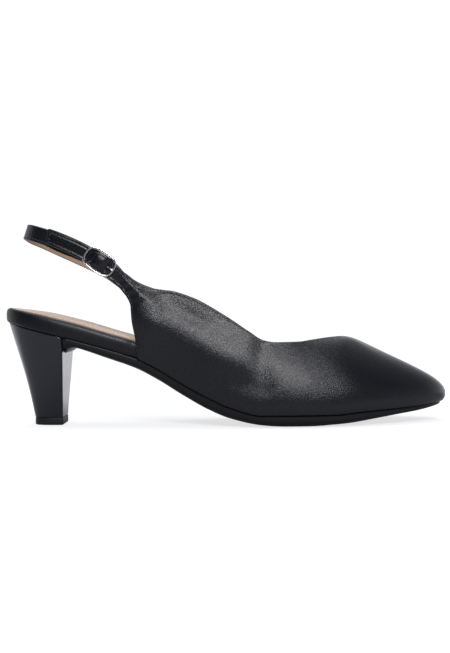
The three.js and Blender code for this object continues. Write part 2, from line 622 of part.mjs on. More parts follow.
function makeTopPiece() {
  const front = toX(BREAST_FOOT_ALONG);
  const back = toX(HEEL_LEVELS[HEEL_LEVELS.length - 1].back);
  const level = (z, inset) =>
    heelOutline(back + inset, front + TOP_PIECE_PROUD - inset, HEEL_TIP_WIDTH / 2 - inset, 1).map(
      (p) => new THREE.Vector3(p.x, p.y, z),
    );
  return loft([level(TOP_PIECE_THICKNESS, 0), level(TOP_PIECE_ROUND, 0), level(0, TOP_PIECE_ROUND)], false);
}

// Half the width that the strap follows: the seat's round the heel, and the ball's where it meets the upper
const strapHalf = (along) =>
  THREE.MathUtils.lerp(halfSeat, halfBall, THREE.MathUtils.smoothstep(along, STRAP_TURN_FROM, STRAP_TURN_TO));

function makeStrap() {
  const points = STRAP.map((row) => {
    const x = toX(row.along);
    return new THREE.Vector3(x, row.out * strapHalf(row.along), bottomZ(x) + row.up * QUARTER_HEIGHT);
  });
  const curve = new THREE.CatmullRomCurve3(points, false, "centripetal");
  const places = STRAP.map((_, i) => i / (STRAP.length - 1));
  const leans = STRAP.map((row) => row.lean);
  const steps = 42;
  const sections = Array.from({ length: steps + 1 }, (_, i) => {
    const t = i / steps;
    const middle = curve.getPoint(t);
    const run = curve.getTangent(t);
    const up = new THREE.Vector3(0, 0, 1).addScaledVector(run, -run.z).normalize();
    const out = run.clone().cross(up).normalize();
    const lean = THREE.MathUtils.degToRad(follow(places, leans, t));
    const width = up.clone().multiplyScalar(Math.cos(lean)).addScaledVector(out, -Math.sin(lean));
    const away = out.clone().multiplyScalar(Math.cos(lean)).addScaledVector(up, Math.sin(lean));
    const corner = (w, a) =>
      middle.clone().addScaledVector(width, w * STRAP_WIDTH).addScaledVector(away, a * STRAP_THICKNESS);
    return [corner(0.5, 0), corner(-0.5, 0), corner(-0.5, -1), corner(0.5, -1)];
  });
  return loft(sections, false);
}

// A round wire through points in the buckle's frame: along the strap, across it, and out
function wire(points, diameter, closed) {
  const sides = 8;
  const world = points.map(([s, w, o]) =>
    buckle.centre
      .clone()
      .addScaledVector(buckle.run, s)
      .addScaledVector(buckle.across, w)
      .addScaledVector(buckle.out, o),
  );
  const count = world.length;
  const sections = world.map((p, i) => {
    const before = closed ? world[(i + count - 1) % count] : world[Math.max(i - 1, 0)];
    const after = closed ? world[(i + 1) % count] : world[Math.min(i + 1, count - 1)];
    const run = after.clone().sub(before).normalize();
    const side = buckle.out.clone().addScaledVector(run, -buckle.out.dot(run)).normalize();
    const other = run.clone().cross(side);
    return Array.from({ length: sides }, (_, k) => {
      const angle = (2 * Math.PI * k) / sides;
      return p
        .clone()
        .addScaledVector(side, (Math.cos(angle) * diameter) / 2)
        .addScaledVector(other, (Math.sin(angle) * diameter) / 2);
    });
  });
  return loft(sections, closed);
}

const prongPath = () => {
  const reach = (BUCKLE_LENGTH - BUCKLE_WIRE) / 2;
  const over = 0.45 * (BUCKLE_WIRE + PRONG_WIRE);
  return [
    [0, 0, 0],
    [reach * 0.35, 0, 0],
    [reach * 0.7, 0, over * 0.45],
    [reach + 0.4 * PRONG_WIRE, 0, over],
  ];
};

function makeBuckle() {
  const halfLength = (BUCKLE_LENGTH - BUCKLE_WIRE) / 2;
  const halfWidth = (BUCKLE_WIDTH - BUCKLE_WIRE) / 2;
  const steps = 28;
  const power = 2 / 2.9;
  const ringPoints = Array.from({ length: steps }, (_, i) => {
    const angle = (2 * Math.PI * i) / steps;
    const bend = (v) => Math.sign(v) * Math.abs(v) ** power;
    return [halfLength * bend(Math.cos(angle)), halfWidth * bend(Math.sin(angle)), 0];
  });
  const ring = toManifold(wire(ringPoints, BUCKLE_WIRE, true));
  const bar = toManifold(wire([[0, -halfWidth, 0], [0, halfWidth, 0]], BUCKLE_WIRE * 0.9, false));
  const prong = toManifold(wire(prongPath(), PRONG_WIRE, false));
  return toGeometry(ring.add(bar).add(prong));
}

// The punched hole that the prong comes through
function cutHole(upperGeometry) {
  const slot = toManifold(wire(prongPath(), PRONG_WIRE + 2 * CLEARANCE, false));
  return toGeometry(toManifold(upperGeometry).subtract(slot));
}

const leather = { color: 0x141416, roughness: 0.45, metalness: 0 };
const finishes = {
  upper: leather,
  sling_strap: leather,
  insole: { color: 0x131315, roughness: 0.35, metalness: 0 },
  sock: { color: 0xcdb094, roughness: 0.7, metalness: 0 },
  outsole: { color: 0x1b1b1d, roughness: 0.55, metalness: 0 },
  heel: { color: 0x17171a, roughness: 0.25, metalness: 0 },
  top_piece: { color: 0x101011, roughness: 0.6, metalness: 0 },
  buckle: { color: 0xd9dadd, roughness: 0.12, metalness: 1 },
};

const pieces = {
  outsole: makeOutsole(),
  insole: makeInsole(),
  sock: makeSock(),
  upper: cutHole(makeUpper()),
  sling_strap: makeStrap(),
  buckle: makeBuckle(),
  heel: makeHeel(),
  top_piece: makeTopPiece(),
};

const shoe = new THREE.Group();
for (const [name, geometry] of Object.entries(pieces)) {
  const mesh = new THREE.Mesh(geometry, new THREE.MeshStandardMaterial(finishes[name]));
  mesh.name = name;
  shoe.add(mesh);
}

// The origin lies on the floor under the middle of the shoe's box.
const box = new THREE.Box3().setFromObject(shoe, true);
const middle = box.getCenter(new THREE.Vector3());
const placed = new THREE.Group();
shoe.position.set(-middle.x, -middle.y, 0);
placed.add(shoe);

export default placed;
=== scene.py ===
"""Looks of a slingback pump: grained leather, linings, stitching, a chrome buckle, a lacquered heel.

The shoe points to +X, its outer side faces -Y and it stands on Z = 0. The tables and the functions that
make its pieces work in millimetres, and the pieces are put into the scene in metres.
"""

import math
from types import SimpleNamespace

import bmesh
import bpy
import numpy as np
from mathutils import Matrix, Vector


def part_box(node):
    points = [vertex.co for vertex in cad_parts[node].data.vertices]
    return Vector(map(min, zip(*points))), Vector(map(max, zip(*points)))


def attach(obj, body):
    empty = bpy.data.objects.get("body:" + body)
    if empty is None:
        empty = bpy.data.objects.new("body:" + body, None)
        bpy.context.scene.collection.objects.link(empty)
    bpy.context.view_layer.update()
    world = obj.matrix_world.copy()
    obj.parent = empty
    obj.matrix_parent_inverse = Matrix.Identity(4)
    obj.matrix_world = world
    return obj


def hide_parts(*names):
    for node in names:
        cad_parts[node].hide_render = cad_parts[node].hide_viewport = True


bl_info = {
    "name": "Slingback Pump",
    "version": (1, 0, 0),
    "blender": (4, 5, 0),
    "location": "View3D > Sidebar > Pump",
    "description": "Builds the finished pieces of a slingback pump round its solids",
    "category": "Object",
}

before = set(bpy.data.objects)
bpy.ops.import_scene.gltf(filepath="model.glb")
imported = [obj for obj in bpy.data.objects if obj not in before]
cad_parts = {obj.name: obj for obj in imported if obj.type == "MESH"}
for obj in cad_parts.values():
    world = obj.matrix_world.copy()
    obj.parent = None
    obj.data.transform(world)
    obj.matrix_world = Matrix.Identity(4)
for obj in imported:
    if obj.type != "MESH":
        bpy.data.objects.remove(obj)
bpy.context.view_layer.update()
BODY = "root"
MM = 0.001

# Sizes of the whole shoe, as its solids have them
SHOE_LENGTH = 246.4
BALL_WIDTH = 75
SEAT_WIDTH = 52
HEEL_HEIGHT = 57.7
TOE_SPRING = 4.2
QUARTER_HEIGHT = 47

# Sizes of the pieces
UPPER_WALL = 1.8
SOLE_THICKNESS = 6.6
SOLE_SETBACK = 0.3
SOLE_EDGE_ROUND = 8
SOLE_LIP_DROP = 5
SOLE_LIP_LENGTH = 7.5
SOLE_LIP_TOP = 0.38
SOLE_SIDE_RIM = 3.5
SOLE_BLEND = (-14, -7, 0, 7, 14)
INSOLE_EDGE = 8.8
INSOLE_STEP = 0.9
INSOLE_STEP_BACK = 5
INSOLE_TOE_ROOM = 0.9
INSOLE_SEAM_INSET = 2
SOCK_THICKNESS = 1
SOCK_SETBACK = 3
STRAP_WIDTH = 8.8
STRAP_THICKNESS = 1.6
STRAP_SEAM_NEARER = 0.4
HEEL_TIP_WIDTH = 21
HEEL_SEAT_SETBACK = 0.8
TOP_PIECE_THICKNESS = 4
TOP_PIECE_PROUD = 0.3
BUCKLE_LENGTH = 18.4
BUCKLE_WIDTH = 12.8
BUCKLE_WIRE = 1.2
BUCKLE_SLOPE = 35
OVAL_POWER = 2.9
DOME_REACH = 6.8
PRONG_WIRE = 1
CLEARANCE = 0.3

# Places along the shoe, as shares of its length from the back
BREAST_ALONG = 0.1425
BREAST_FOOT_ALONG = 0.1335
QUARTER_ALONG = 0.308
FLAT_FROM = 0.58
FLAT_TO = 0.74
WAIST_FROM = 0.3
WAIST_TO = 0.6
TOE_ROOM_FROM = 0.85
TOE_ROOM_TO = 0.96
BUCKLE_ALONG = 0.229
BUCKLE_UP = 0.992
BUCKLE_OUT = 0.742


def rows_of(keys, *rows):
    """A table as a list of rows with named columns."""
    return [dict(zip(keys.split(), row)) for row in rows]


# Bottom of the last: shares of half the width, of the heel's rise and spring, of the sole's and the
# insole edge's height
BOTTOM = rows_of(
    "along lateral medial rise spring sole insole",
    (0.0037, 0.0, 0.0, 1.0, 0, 0.6, 0.84),
    (0.0125, 0.377, 0.377, 0.99, 0, 0.6, 0.88),
    (0.036, 0.677, 0.677, 0.965, 0, 0.6, 0.93),
    (0.07, 0.869, 0.869, 0.922, 0, 0.6, 0.98),
    (0.115, 0.969, 0.969, 0.863, 0, 0.6, 1.02),
    (0.17, 1.0, 1.0, 0.796, 0, 0.63, 1.01),
    (0.24, 0.992, 0.985, 0.7, 0, 0.79, 0.97),
    (0.305, 0.977, 0.955, 0.597, 0, 0.89, 1.0),
    (0.35, 0.953, 0.864, 0.491, 0, 0.97, 0.85),
    (0.4, 0.939, 0.759, 0.346, 0, 1.01, 0.68),
    (0.46, 0.935, 0.706, 0.19, 0, 1.06, 0.55),
    (0.52, 0.946, 0.738, 0.065, 0, 1.05, 0.47),
    (FLAT_FROM, 0.975, 0.835, 0, 0, 1, 0.43),
    (0.64, 0.997, 0.95, 0, 0, 1, 0.4),
    (0.69, 0.981, 1.003, 0, 0, 1, 0.4),
    (FLAT_TO, 0.928, 0.997, 0, 0, 1, 0.4),
    (0.79, 0.832, 0.939, 0, 0.24, 0.82, 0.4),
    (0.84, 0.693, 0.832, 0, 0.4, 0.66, 0.4),
    (0.89, 0.512, 0.693, 0, 0.52, 0.59, 0.4),
    (0.93, 0.336, 0.565, 0, 0.63, 0.52, 0.4),
    (0.965, 0.144, 0.427, 0, 0.79, 0.41, 0.38),
    (0.985, -0.016, 0.3, 0, 0.9, 0.33, 0.36),
    (0.9915, -0.16, 0.16, 0, 0.95, 0.3, 0.35),
)

# Ribs of the upper that cross the outer strap, then its rear edge, then those that stand on the sole
OUTER_RIBS = [
    *rows_of(
        "top out up lean",
        (0.112, 0.624, 1.226, 5),
        (0.1355, 0.655, 1.213, 18),
        (0.175, 0.697, 1.177, 21),
        (0.206, 0.725, 1.14, 26),
        (0.239, 0.737, 1.089, 34),
        (0.266, 0.742, 1.013, 40),
    ),
    *rows_of(
        "top out up low low_out low_up",
        (0.303, 0.744, 0.909, 0.276, 0.735, 0.722),
        (0.34, 0.747, 0.911, 0.298, 0.727, 0.566),
        (0.368, 0.752, 0.966, 0.305, 0.717, 0.32),
    ),
    *rows_of(
        "top out up low",
        (0.386, 0.757, 1.011, QUARTER_ALONG),
        (0.433, 0.768, 1.07, 0.407),
        (0.502, 0.795, 1.04, 0.516),
        (0.553, 0.811, 0.945, 0.589),
        (0.587, 0.813, 0.857, 0.64),
        (0.612, 0.795, 0.836, 0.679),
        (0.654, 0.731, 0.838, 0.731),
        (0.705, 0.587, 0.86, 0.808),
        (0.7415, 0.373, 0.87, 0.885),
        (0.764, 0.147, 0.863, 0.95),
    ),
]
TOE_RIB = {"top": 0.771, "out": -0.07, "up": 0.857, "low": 0.9915}
INNER_RIBS = [
    *rows_of("top out up lean", (0.212, 0.704, 1.03, 26), (0.248, 0.72, 0.966, 32)),
    *rows_of(
        "top out up low low_out low_up",
        (0.289, 0.731, 0.89, 0.265, 0.715, 0.7),
        (0.33, 0.736, 0.89, 0.291, 0.7, 0.549),
        (0.364, 0.736, 0.932, 0.303, 0.69, 0.31),
    ),
    *rows_of(
        "top out up low",
        (0.386, 0.736, 0.97, QUARTER_ALONG),
        (0.439, 0.731, 1.026, 0.407),
        (0.496, 0.741, 1.0, 0.492),
        (0.545, 0.773, 0.905, 0.569),
        (0.585, 0.8, 0.817, 0.634),
        (0.626, 0.811, 0.781, 0.695),
        (0.67, 0.763, 0.796, 0.756),
        (0.711, 0.651, 0.83, 0.821),
        (0.7435, 0.469, 0.855, 0.886),
        (0.764, 0.267, 0.859, 0.946),
    ),
]

# How the upper's wall swells on its way down
SWELL = rows_of(
    "low crown drop shoulder bow belly rise",
    (0.0, 0, 0.25, 0.5, 0, 0, 0.25),
    (0.2, 0, 0.25, 0.5, 0.01, 0.02, 0.25),
    (QUARTER_ALONG, 0, 0.25, 0.5, 0.025, 0.05, 0.22),
    (0.41, 0.01, 0.25, 0.5, 0.05, 0.07, 0.2),
    (0.55, 0.05, 0.22, 0.5, 0.1, 0.07, 0.2),
    (0.68, 0.13, 0.18, 0.5, 0.15, 0.08, 0.2),
    (0.8, 0.22, 0.1, 0.45, 0.13, 0.14, 0.26),
    (0.9, 0.3, 0.03, 0.39, 0.03, 0.22, 0.33),
    (0.96, 0.32, 0, 0.36, -0.05, 0.29, 0.39),
    (0.9915, 0.32, 0, 0.35, -0.07, 0.33, 0.41),
)

# Middle line of the sling strap's outer face, from its inner end round the heel to the buckle
STRAP = rows_of(
    "along out up lean",
    (0.265, 0.94, 0.815, 0),
    (0.232, 0.935, 0.89, 0),
    (0.2, 0.925, 0.932, 2),
    (0.159, 0.905, 0.978, 4),
    (0.1145, 0.83, 1.028, 7),
    (0.08, 0.645, 1.065, 12),
    (0.0565, 0.33, 1.09, 17),
    (0.05, 0.0, 1.115, 19),
    (0.0555, -0.33, 1.12, 17),
    (0.0755, -0.64, 1.122, 12),
    (0.1055, -0.79, 1.115, 7),
    (0.142, -0.86, 1.072, 4),
    (0.18, -0.92, 1.043, 2),
    (0.205, -0.94, 1.02, 0),
    (0.219, -0.96, 1.0, 0),
    (0.2275, -1.02, 0.986, 0),
    (0.232, -1.036, 0.98, 0),
)

# The heel block from the seat down
HEEL_LEVELS = rows_of(
    "down back square",
    (0, 0.0092, 0),
    (0.11, 0.0169, 0.1),
    (0.3, 0.0302, 0.3),
    (0.5, 0.0434, 0.5),
    (0.74, 0.0562, 0.75),
    (1, 0.0669, 1),
)

# Creases and soft troughs of the leather on the outer side: ends in X and Z, width and depth
CREASES = rows_of(
    "start end width depth",
    ((-62.5, 81.4), (-54.0, 82.6), 0.9, 0.35),
    ((-60.0, 78.0), (-50.0, 80.0), 0.9, 0.5),
    ((-57.0, 74.4), (-46.0, 77.2), 1.0, 0.6),
    ((-54.0, 70.8), (-43.0, 73.4), 1.1, 0.55),
    ((-50.5, 66.5), (-42.0, 68.6), 1.3, 0.35),
    ((-26.0, 64.5), (-7.0, 54.0), 3.4, 0.7),
    ((19.8, 47.0), (20.8, 41.0), 1.5, 0.3),
    ((18.4, 48.0), (21.0, 22.0), 5.2, 1.05),
    ((-60.0, 62.0), (-28.0, 55.0), 10.0, -1.7),
    ((-54.0, 63.0), (4.0, 35.5), 8.0, -1.0),
    ((-4.0, 41.0), (20.0, 36.0), 6.5, -0.7),
    ((0.0, 25.0), (22.0, 21.5), 6.5, 1.0),
)

HALF_BALL = BALL_WIDTH / 2
HALF_SEAT = SEAT_WIDTH / 2


def to_x(along):
    """X of a place along the shoe, before the shoe is centred."""
    return (along - 0.5) * SHOE_LENGTH


def to_along(x):
    """The share of the length at X."""
    return x / SHOE_LENGTH + 0.5


def smoothstep(x, low, high):
    """0 below low, 1 above high, and smooth between."""
    t = np.clip((x - low) / (high - low), 0, 1)
    return t * t * (3 - 2 * t)


def follow(places, values, at):
    """A smooth curve through the values of a table that doesn't overshoot them."""
    places = np.asarray(places, float)
    values = np.asarray(values, float).reshape(len(places), -1)
    at = np.asarray(at, float)
    width = np.diff(places)[:, None]
    slope = np.diff(values, axis=0) / width
    before, after = slope[:-1], slope[1:]
    first = 2 * width[1:] + width[:-1]
    second = width[1:] + 2 * width[:-1]
    same_way = before * after > 0
    safe_before = np.where(same_way, before, 1)
    safe_after = np.where(same_way, after, 1)
    mean = (first + second) / (first / safe_before + second / safe_after)
    tangent = np.vstack([slope[:1], np.where(same_way, mean, 0), slope[-1:]])
    i = np.clip(np.searchsorted(places, at) - 1, 0, len(places) - 2)
    u = np.clip((at - places[i]) / width[i, 0], 0, 1)[..., None]
    ease = u * u * (3 - 2 * u)
    start = u * (1 - u) ** 2 * width[i] * tangent[i]
    end = u * u * (1 - u) * width[i] * tangent[i + 1]
    return values[i] + (values[i + 1] - values[i]) * ease + start - end


def unit(vectors):
    """Vectors brought to length 1."""
    return vectors / np.maximum(np.linalg.norm(vectors, axis=-1), 1e-9)[..., None]


def lengths(points):
    """Distance along each line of points from its start."""
    steps = np.linalg.norm(np.diff(points, axis=-2), axis=-1)
    zero = np.zeros(steps.shape[:-1] + (1,))
    return np.concatenate([zero, np.cumsum(steps, axis=-1)], axis=-1)


def resample(line, arc, places):
    """Points of a line at some distances from its start."""
    return np.stack([np.interp(places, arc, line[:, i]) for i in range(line.shape[1])], axis=-1)


def column(rows, key, by="along"):
    """A function that reads one column of a table at any place."""
    places = [row[by] for row in rows]
    values = [row[key] for row in rows]
    return lambda at: follow(places, values, at)[..., 0]


RISE = column(BOTTOM, "rise")
SPRING = column(BOTTOM, "spring")
SOLE = column(BOTTOM, "sole")
INSOLE = column(BOTTOM, "insole")
BACK_X = to_x(BOTTOM[0]["along"])
TIP_X = to_x(TOE_RIB["low"])


def bottom_z(x):
    """Height of the bottom of the last above the floor."""
    along = to_along(np.asarray(x, float))
    return SOLE_THICKNESS + RISE(along) * (HEEL_HEIGHT - SOLE_THICKNESS) + SPRING(along) * TOE_SPRING


def insole_top(x):
    """Height of the top of the insole."""
    return bottom_z(x) + INSOLE(to_along(np.asarray(x, float))) * INSOLE_EDGE


def half_width(along):
    """Half the width that the shares of the bottom table are taken of."""
    return HALF_SEAT + (HALF_BALL - HALF_SEAT) * smoothstep(along, WAIST_FROM, WAIST_TO)


def smooth_curve(points, steps, closed):
    """Points along the centripetal spline through some points, steps of them to a span."""
    points = np.asarray(points, float)
    if closed:
        padded = np.vstack([points[-1:], points, points[:2]])
    else:
        padded = np.vstack([2 * points[:1] - points[1:2], points, 2 * points[-1:] - points[-2:-1]])
    u = (np.arange(steps) / steps)[:, None]
    spans = []
    for before, a, b, after in zip(padded, padded[1:], padded[2:], padded[3:]):
        gaps = [math.sqrt(np.linalg.norm(q - p)) for p, q in ((before, a), (a, b), (b, after))]
        start = (a - before) / gaps[0] - (b - before) / (gaps[0] + gaps[1]) + (b - a) / gaps[1]
        end = (b - a) / gaps[1] - (after - a) / (gaps[1] + gaps[2]) + (after - b) / gaps[2]
        start, end = start * gaps[1], end * gaps[1]
        square = 3 * (b - a) - 2 * start - end
        spans.append(a + start * u + square * u**2 + (2 * (a - b) + start + end) * u**3)
    if not closed:
        spans.append(points[-1:])
    return np.vstack(spans)


def outline_sides():
    """The outline of the last's bottom as two lines from the back to the tip: points, shares, normals."""
    outer = [(to_x(r["along"]), -r["lateral"] * half_width(r["along"])) for r in BOTTOM]
    inner = [(to_x(r["along"]), r["medial"] * half_width(r["along"])) for r in BOTTOM]
    steps = 40
    line = smooth_curve(outer + inner[-2:0:-1], steps, True)
    tip = steps * (len(BOTTOM) - 1)
    tangent = np.roll(line, -1, axis=0) - np.roll(line, 1, axis=0)
    normal = unit(np.stack([tangent[:, 1], -tangent[:, 0]], axis=1))
    sides = {}
    for side in (-1, 1):
        order = np.arange(tip + 1) if side < 0 else np.append(0, np.arange(len(line) - 1, tip - 1, -1))
        arc = lengths(line[order])
        sides[side] = SimpleNamespace(points=line[order], normals=normal[order], shares=arc / arc[-1])
    return sides


OUTLINE = outline_sides()


def round_at(side, x):
    """How far round one side of the outline X lies, from 0 at the back to 1 at the tip."""
    line = OUTLINE[side]
    return np.interp(x, np.maximum.accumulate(line.points[:, 0]), line.shares)


def round_point(side, share, grow=0.0):
    """The points that far round one side, moved out by grow, and their outward directions."""
    line = OUTLINE[side]
    outward = unit(resample(line.normals, line.shares, share))
    point = resample(line.points, line.shares, share)
    return point + outward * np.asarray(grow)[..., None], outward


def shoe_shift():
    """How far the solids were moved to centre the whole shoe on the origin."""
    low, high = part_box("top_piece")
    front = to_x(BREAST_FOOT_ALONG) + TOP_PIECE_PROUD
    return np.array([high[0] / MM - front, (low[1] + high[1]) / 2 / MM, 0])


SHIFT = shoe_shift()


# Meshes
WELD = 1e-4
FINE_WELD = 1e-5


def round_turn(count):
    """Cosines and sines of even steps round a circle."""
    angle = 2 * np.pi * np.arange(count) / count
    return np.cos(angle), np.sin(angle)


def add_piece(name, points, faces, finishes, slot, replaces=(), indices=None, weld=WELD):
    """A smooth mesh piece from points in millimetres, which rides on the shoe's only body."""
    mesh = bpy.data.meshes.new(name)
    placed = (np.asarray(points, float) + SHIFT) * MM
    mesh.from_pydata(placed.tolist(), [], [tuple(int(i) for i in face) for face in faces])
    for finish in finishes:
        mesh.materials.append(finish_named(finish))
    if indices is not None:
        mesh.polygons.foreach_set("material_index", np.asarray(indices, np.int32))
    work = bmesh.new()
    work.from_mesh(mesh)
    bmesh.ops.remove_doubles(work, verts=work.verts, dist=weld * MM)
    bmesh.ops.dissolve_degenerate(work, edges=work.edges, dist=weld * MM)
    bmesh.ops.recalc_face_normals(work, faces=work.faces)
    if work.calc_volume(signed=True) < 0:
        bmesh.ops.reverse_faces(work, faces=work.faces)
    work.to_mesh(mesh)
    work.free()
    mesh.shade_smooth()
    piece = bpy.data.objects.new(name, mesh)
    bpy.context.scene.collection.objects.link(piece)
    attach(piece, BODY)
    if replaces:
        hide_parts(*replaces)


def grid_faces(rows, columns, offset=0, flip=False, closed_rows=False, closed_columns=False):
    """Quads between the points of a grid that is stored row by row."""
    i = np.arange(rows if closed_rows else rows - 1)[:, None]
    j = np.arange(columns if closed_columns else columns - 1)[None, :]
    a = i * columns + j
    b = i * columns + (j + 1) % columns
    c = (i + 1) % rows * columns + (j + 1) % columns
    d = (i + 1) % rows * columns + j
    quads = np.stack([a, b, c, d], axis=-1).reshape(-1, 4) + offset
    return quads[:, ::-1] if flip else quads


def tube_faces(rows, columns, start=0):
    """Faces of a tube of sections, with flat ends."""
    last = start + (rows - 1) * columns
    ends = [[start + i for i in reversed(range(columns))], [last + i for i in range(columns)]]
    return grid_faces(rows, columns, start, closed_columns=True).tolist() + ends


def normals_of(grid):
    """Unit normals of a grid of points that runs along the piece in rows and across it in columns."""
    return unit(np.cross(np.gradient(grid, axis=1), np.gradient(grid, axis=0)))


# Distances from an edge at which a leather sheet has points, so that its rim is round and its seam sharp
EDGE_STEPS = np.array([0, 0.06, 0.2, 0.42, 0.68, 0.95, 1.25, 1.5, 1.7, 1.9, 2.1, 2.4, 2.9, 3.5])
NARROWEST = 2.3 * EDGE_STEPS[-1]


def rib_steps(length, between):
    """Distances along a rib: close together near both ends, and even between."""
    edge = EDGE_STEPS * min(1, length / NARROWEST)
    middle = np.linspace(edge[-1], length - edge[-1], between + 2)[1:-1]
    return np.concatenate([edge, middle, (length - edge)[::-1]])


def leather_sheet(name, sheet, thickness, relief, finish, bare, replaces):
    """A closed sheet behind a grid of points: its rim is rolled round, relief shapes its outer face, and
    its inner face is the lining, from a little inside the rim."""
    half = thickness / 2
    rim = np.clip(sheet.rim / half, 0, 1)
    swell = half * np.sqrt(np.clip(1 - (1 - rim) ** 2, 0, 1))
    middle = sheet.points - sheet.normals * half
    sheet.outer = middle + sheet.normals * (swell + relief * rim)[..., None]
    inner = middle - sheet.normals * swell[..., None]
    rows, columns = rim.shape
    faces = np.vstack([grid_faces(rows, columns), grid_faces(rows, columns, rows * columns, flip=True)])
    lined = sheet.edge[:-1, :-1].reshape(-1) >= bare
    indices = np.concatenate([np.zeros(len(lined), int), lined.astype(int)])
    points = np.vstack([sheet.outer.reshape(-1, 3), inner.reshape(-1, 3)])
    add_piece(name, points, faces, (finish, "lining"), "upper_leather", replaces, indices)


# The buckle's own frame
def buckle_frame():
    """Middle of the buckle, the way the strap runs through it, across the strap, and out."""
    slope = math.radians(BUCKLE_SLOPE)
    x = to_x(BUCKLE_ALONG)
    out = BUCKLE_OUT * HALF_BALL + CLEARANCE + BUCKLE_WIRE / 2
    return SimpleNamespace(
        centre=np.array([x, -out, float(bottom_z(x)) + BUCKLE_UP * QUARTER_HEIGHT]),
        run=np.array([math.cos(slope), 0, -math.sin(slope)]),
        across=np.array([math.sin(slope), 0, math.cos(slope)]),
        out=np.array([0, -1.0, 0]),
    )


BUCKLE = buckle_frame()


def dome_over(points):
    """How far the strap rises over the buckle's bar: a dome that falls off towards both edges."""
    along = (points - BUCKLE.centre) @ BUCKLE.run / DOME_REACH
    across = (points - BUCKLE.centre) @ BUCKLE.across / (BUCKLE_WIDTH / 2)
    height = BUCKLE_WIRE + 3 * CLEARANCE + UPPER_WALL
    rise = height * np.clip(1 - np.abs(along) ** 3, 0, 1) ** 2 * (1 - np.clip(np.abs(across), 0, 1) ** 3)
    return np.where(points[..., 1] < 0, rise, 0)


def ring_lift(points, way=1):
    """How far the strap's upper edge, or with way -1 its lower one, is pushed out to fill the ring."""
    run = (points - BUCKLE.centre) @ BUCKLE.run / (BUCKLE_LENGTH / 2)
    across = (points - BUCKLE.centre) @ BUCKLE.across
    oval = np.clip(1 - np.abs(run) ** OVAL_POWER, 0, 1) ** (1 / OVAL_POWER)
    inside = (BUCKLE_WIDTH / 2 - 0.9 * BUCKLE_WIRE) * oval
    return np.clip(inside - way * across, 0, 2) * np.clip(1 - run**6, 0, 1)


# The upper
def rib_ends(row, side):
    """Top and lower end of a rib."""
    x = to_x(row["top"])
    top = np.array([x, side * row["out"] * HALF_BALL, float(bottom_z(x)) + row["up"] * QUARTER_HEIGHT])
    if "lean" in row:
        lean = math.radians(row["lean"])
        return top, top + STRAP_WIDTH * np.array([-math.sin(lean), 0, -math.cos(lean)])
    x = to_x(row["low"])
    if "low_up" in row:
        z = float(bottom_z(x)) + row["low_up"] * QUARTER_HEIGHT
        return top, np.array([x, side * row["low_out"] * HALF_BALL, z])
    foot, _ = upper_foot(side, round_at(side, x))
    return top, foot


def upper_foot(side, share):
    """Where the outer face of the upper meets the sole, and its outward direction."""
    point, outward = round_point(side, share, UPPER_WALL + CLEARANCE - INSOLE_STEP)
    foot = np.concatenate([point, bottom_z(point[..., 0])[..., None]], axis=-1)
    flat = np.concatenate([outward, np.zeros_like(outward[..., :1])], axis=-1)
    return foot, flat


def upper_side(rows, side):
    """One side of the upper: its ribs' ends and their places along it."""
    ends = [rib_ends(row, side) for row in rows + [TOE_RIB]]
    tops = np.array([top for top, _ in ends])
    lows = np.array([low for _, low in ends])
    tops[-1, 1] = rib_ends(TOE_RIB, -1)[0][1]
    gaps = [np.linalg.norm(np.diff(line, axis=0), axis=1) for line in (tops, lows)]
    stations = np.append(0, np.cumsum((gaps[0] + gaps[1]) / 2))
    corner = next(i for i, row in enumerate(rows) if row.get("low") == QUARTER_ALONG)
    feet = [float(round_at(side, to_x(row["low"]))) for row in rows[corner:]] + [1.0]
    return SimpleNamespace(side=side, tops=tops, lows=lows, stations=stations, corner=corner, feet=feet)


def rib_lines(part, at, count=90):
    """Ribs of one side at some places along it, each a close line of points from the top edge down."""
    side, corner = part.side, part.corner
    top = follow(part.stations, part.tops, at)
    rear = at < part.stations[corner]
    rear_low = follow(part.stations[: corner + 1], part.lows[: corner + 1], at)
    share = follow(part.stations[corner:], part.feet, at)[..., 0]
    foot, outward = upper_foot(side, share)
    low = np.where(rear[:, None], rear_low, foot)
    outward = np.where(rear[:, None], [0, side, 0], outward)
    if side < 0:
        top = top + BUCKLE.across * ring_lift(top)[:, None]
        filled = smoothstep((rear_low - BUCKLE.centre) @ BUCKLE.run, -5, -1.5)
        low = low - BUCKLE.across * np.where(rear, ring_lift(rear_low, -1) * filled, 0)[:, None]
    above = np.clip((rear_low[:, 2] - bottom_z(rear_low[:, 0])) / QUARTER_HEIGHT, 0, 1)
    foot_along = to_along(round_point(side, share)[0][:, 0])
    place = np.where(rear, QUARTER_ALONG * (1 - above), foot_along)
    swell = {key: column(SWELL, key, "low")(place)[:, None] for key in list(SWELL[0])[1:]}
    up = np.zeros_like(top)
    up[:, 2] = top[:, 2] - low[:, 2]
    inward = unit((low - top) * [1, 1, 0] + outward * 0.13 * HALF_BALL)
    crown = top + inward * swell["crown"] * HALF_BALL - up * swell["drop"]
    shoulder = top + (low - top) * swell["shoulder"] + outward * swell["bow"] * HALF_BALL
    belly = low + outward * swell["belly"] * HALF_BALL + up * swell["rise"]
    t = np.linspace(0, 1, count)
    control = (top, crown, shoulder, belly, low)
    lines = sum(
        weight * ((1 - t) ** (4 - k) * t**k)[None, :, None] * control[k][:, None, :]
        for k, weight in enumerate((1, 4, 6, 4, 1))
    )
    return lines + BUCKLE.out * dome_over(lines)[..., None]


def corner_trim(distance, radius):
    """How much a strap's end is narrowed at each edge to round its corners."""
    left = np.clip(radius - distance, 0, radius)
    return radius - np.sqrt(radius**2 - left**2)


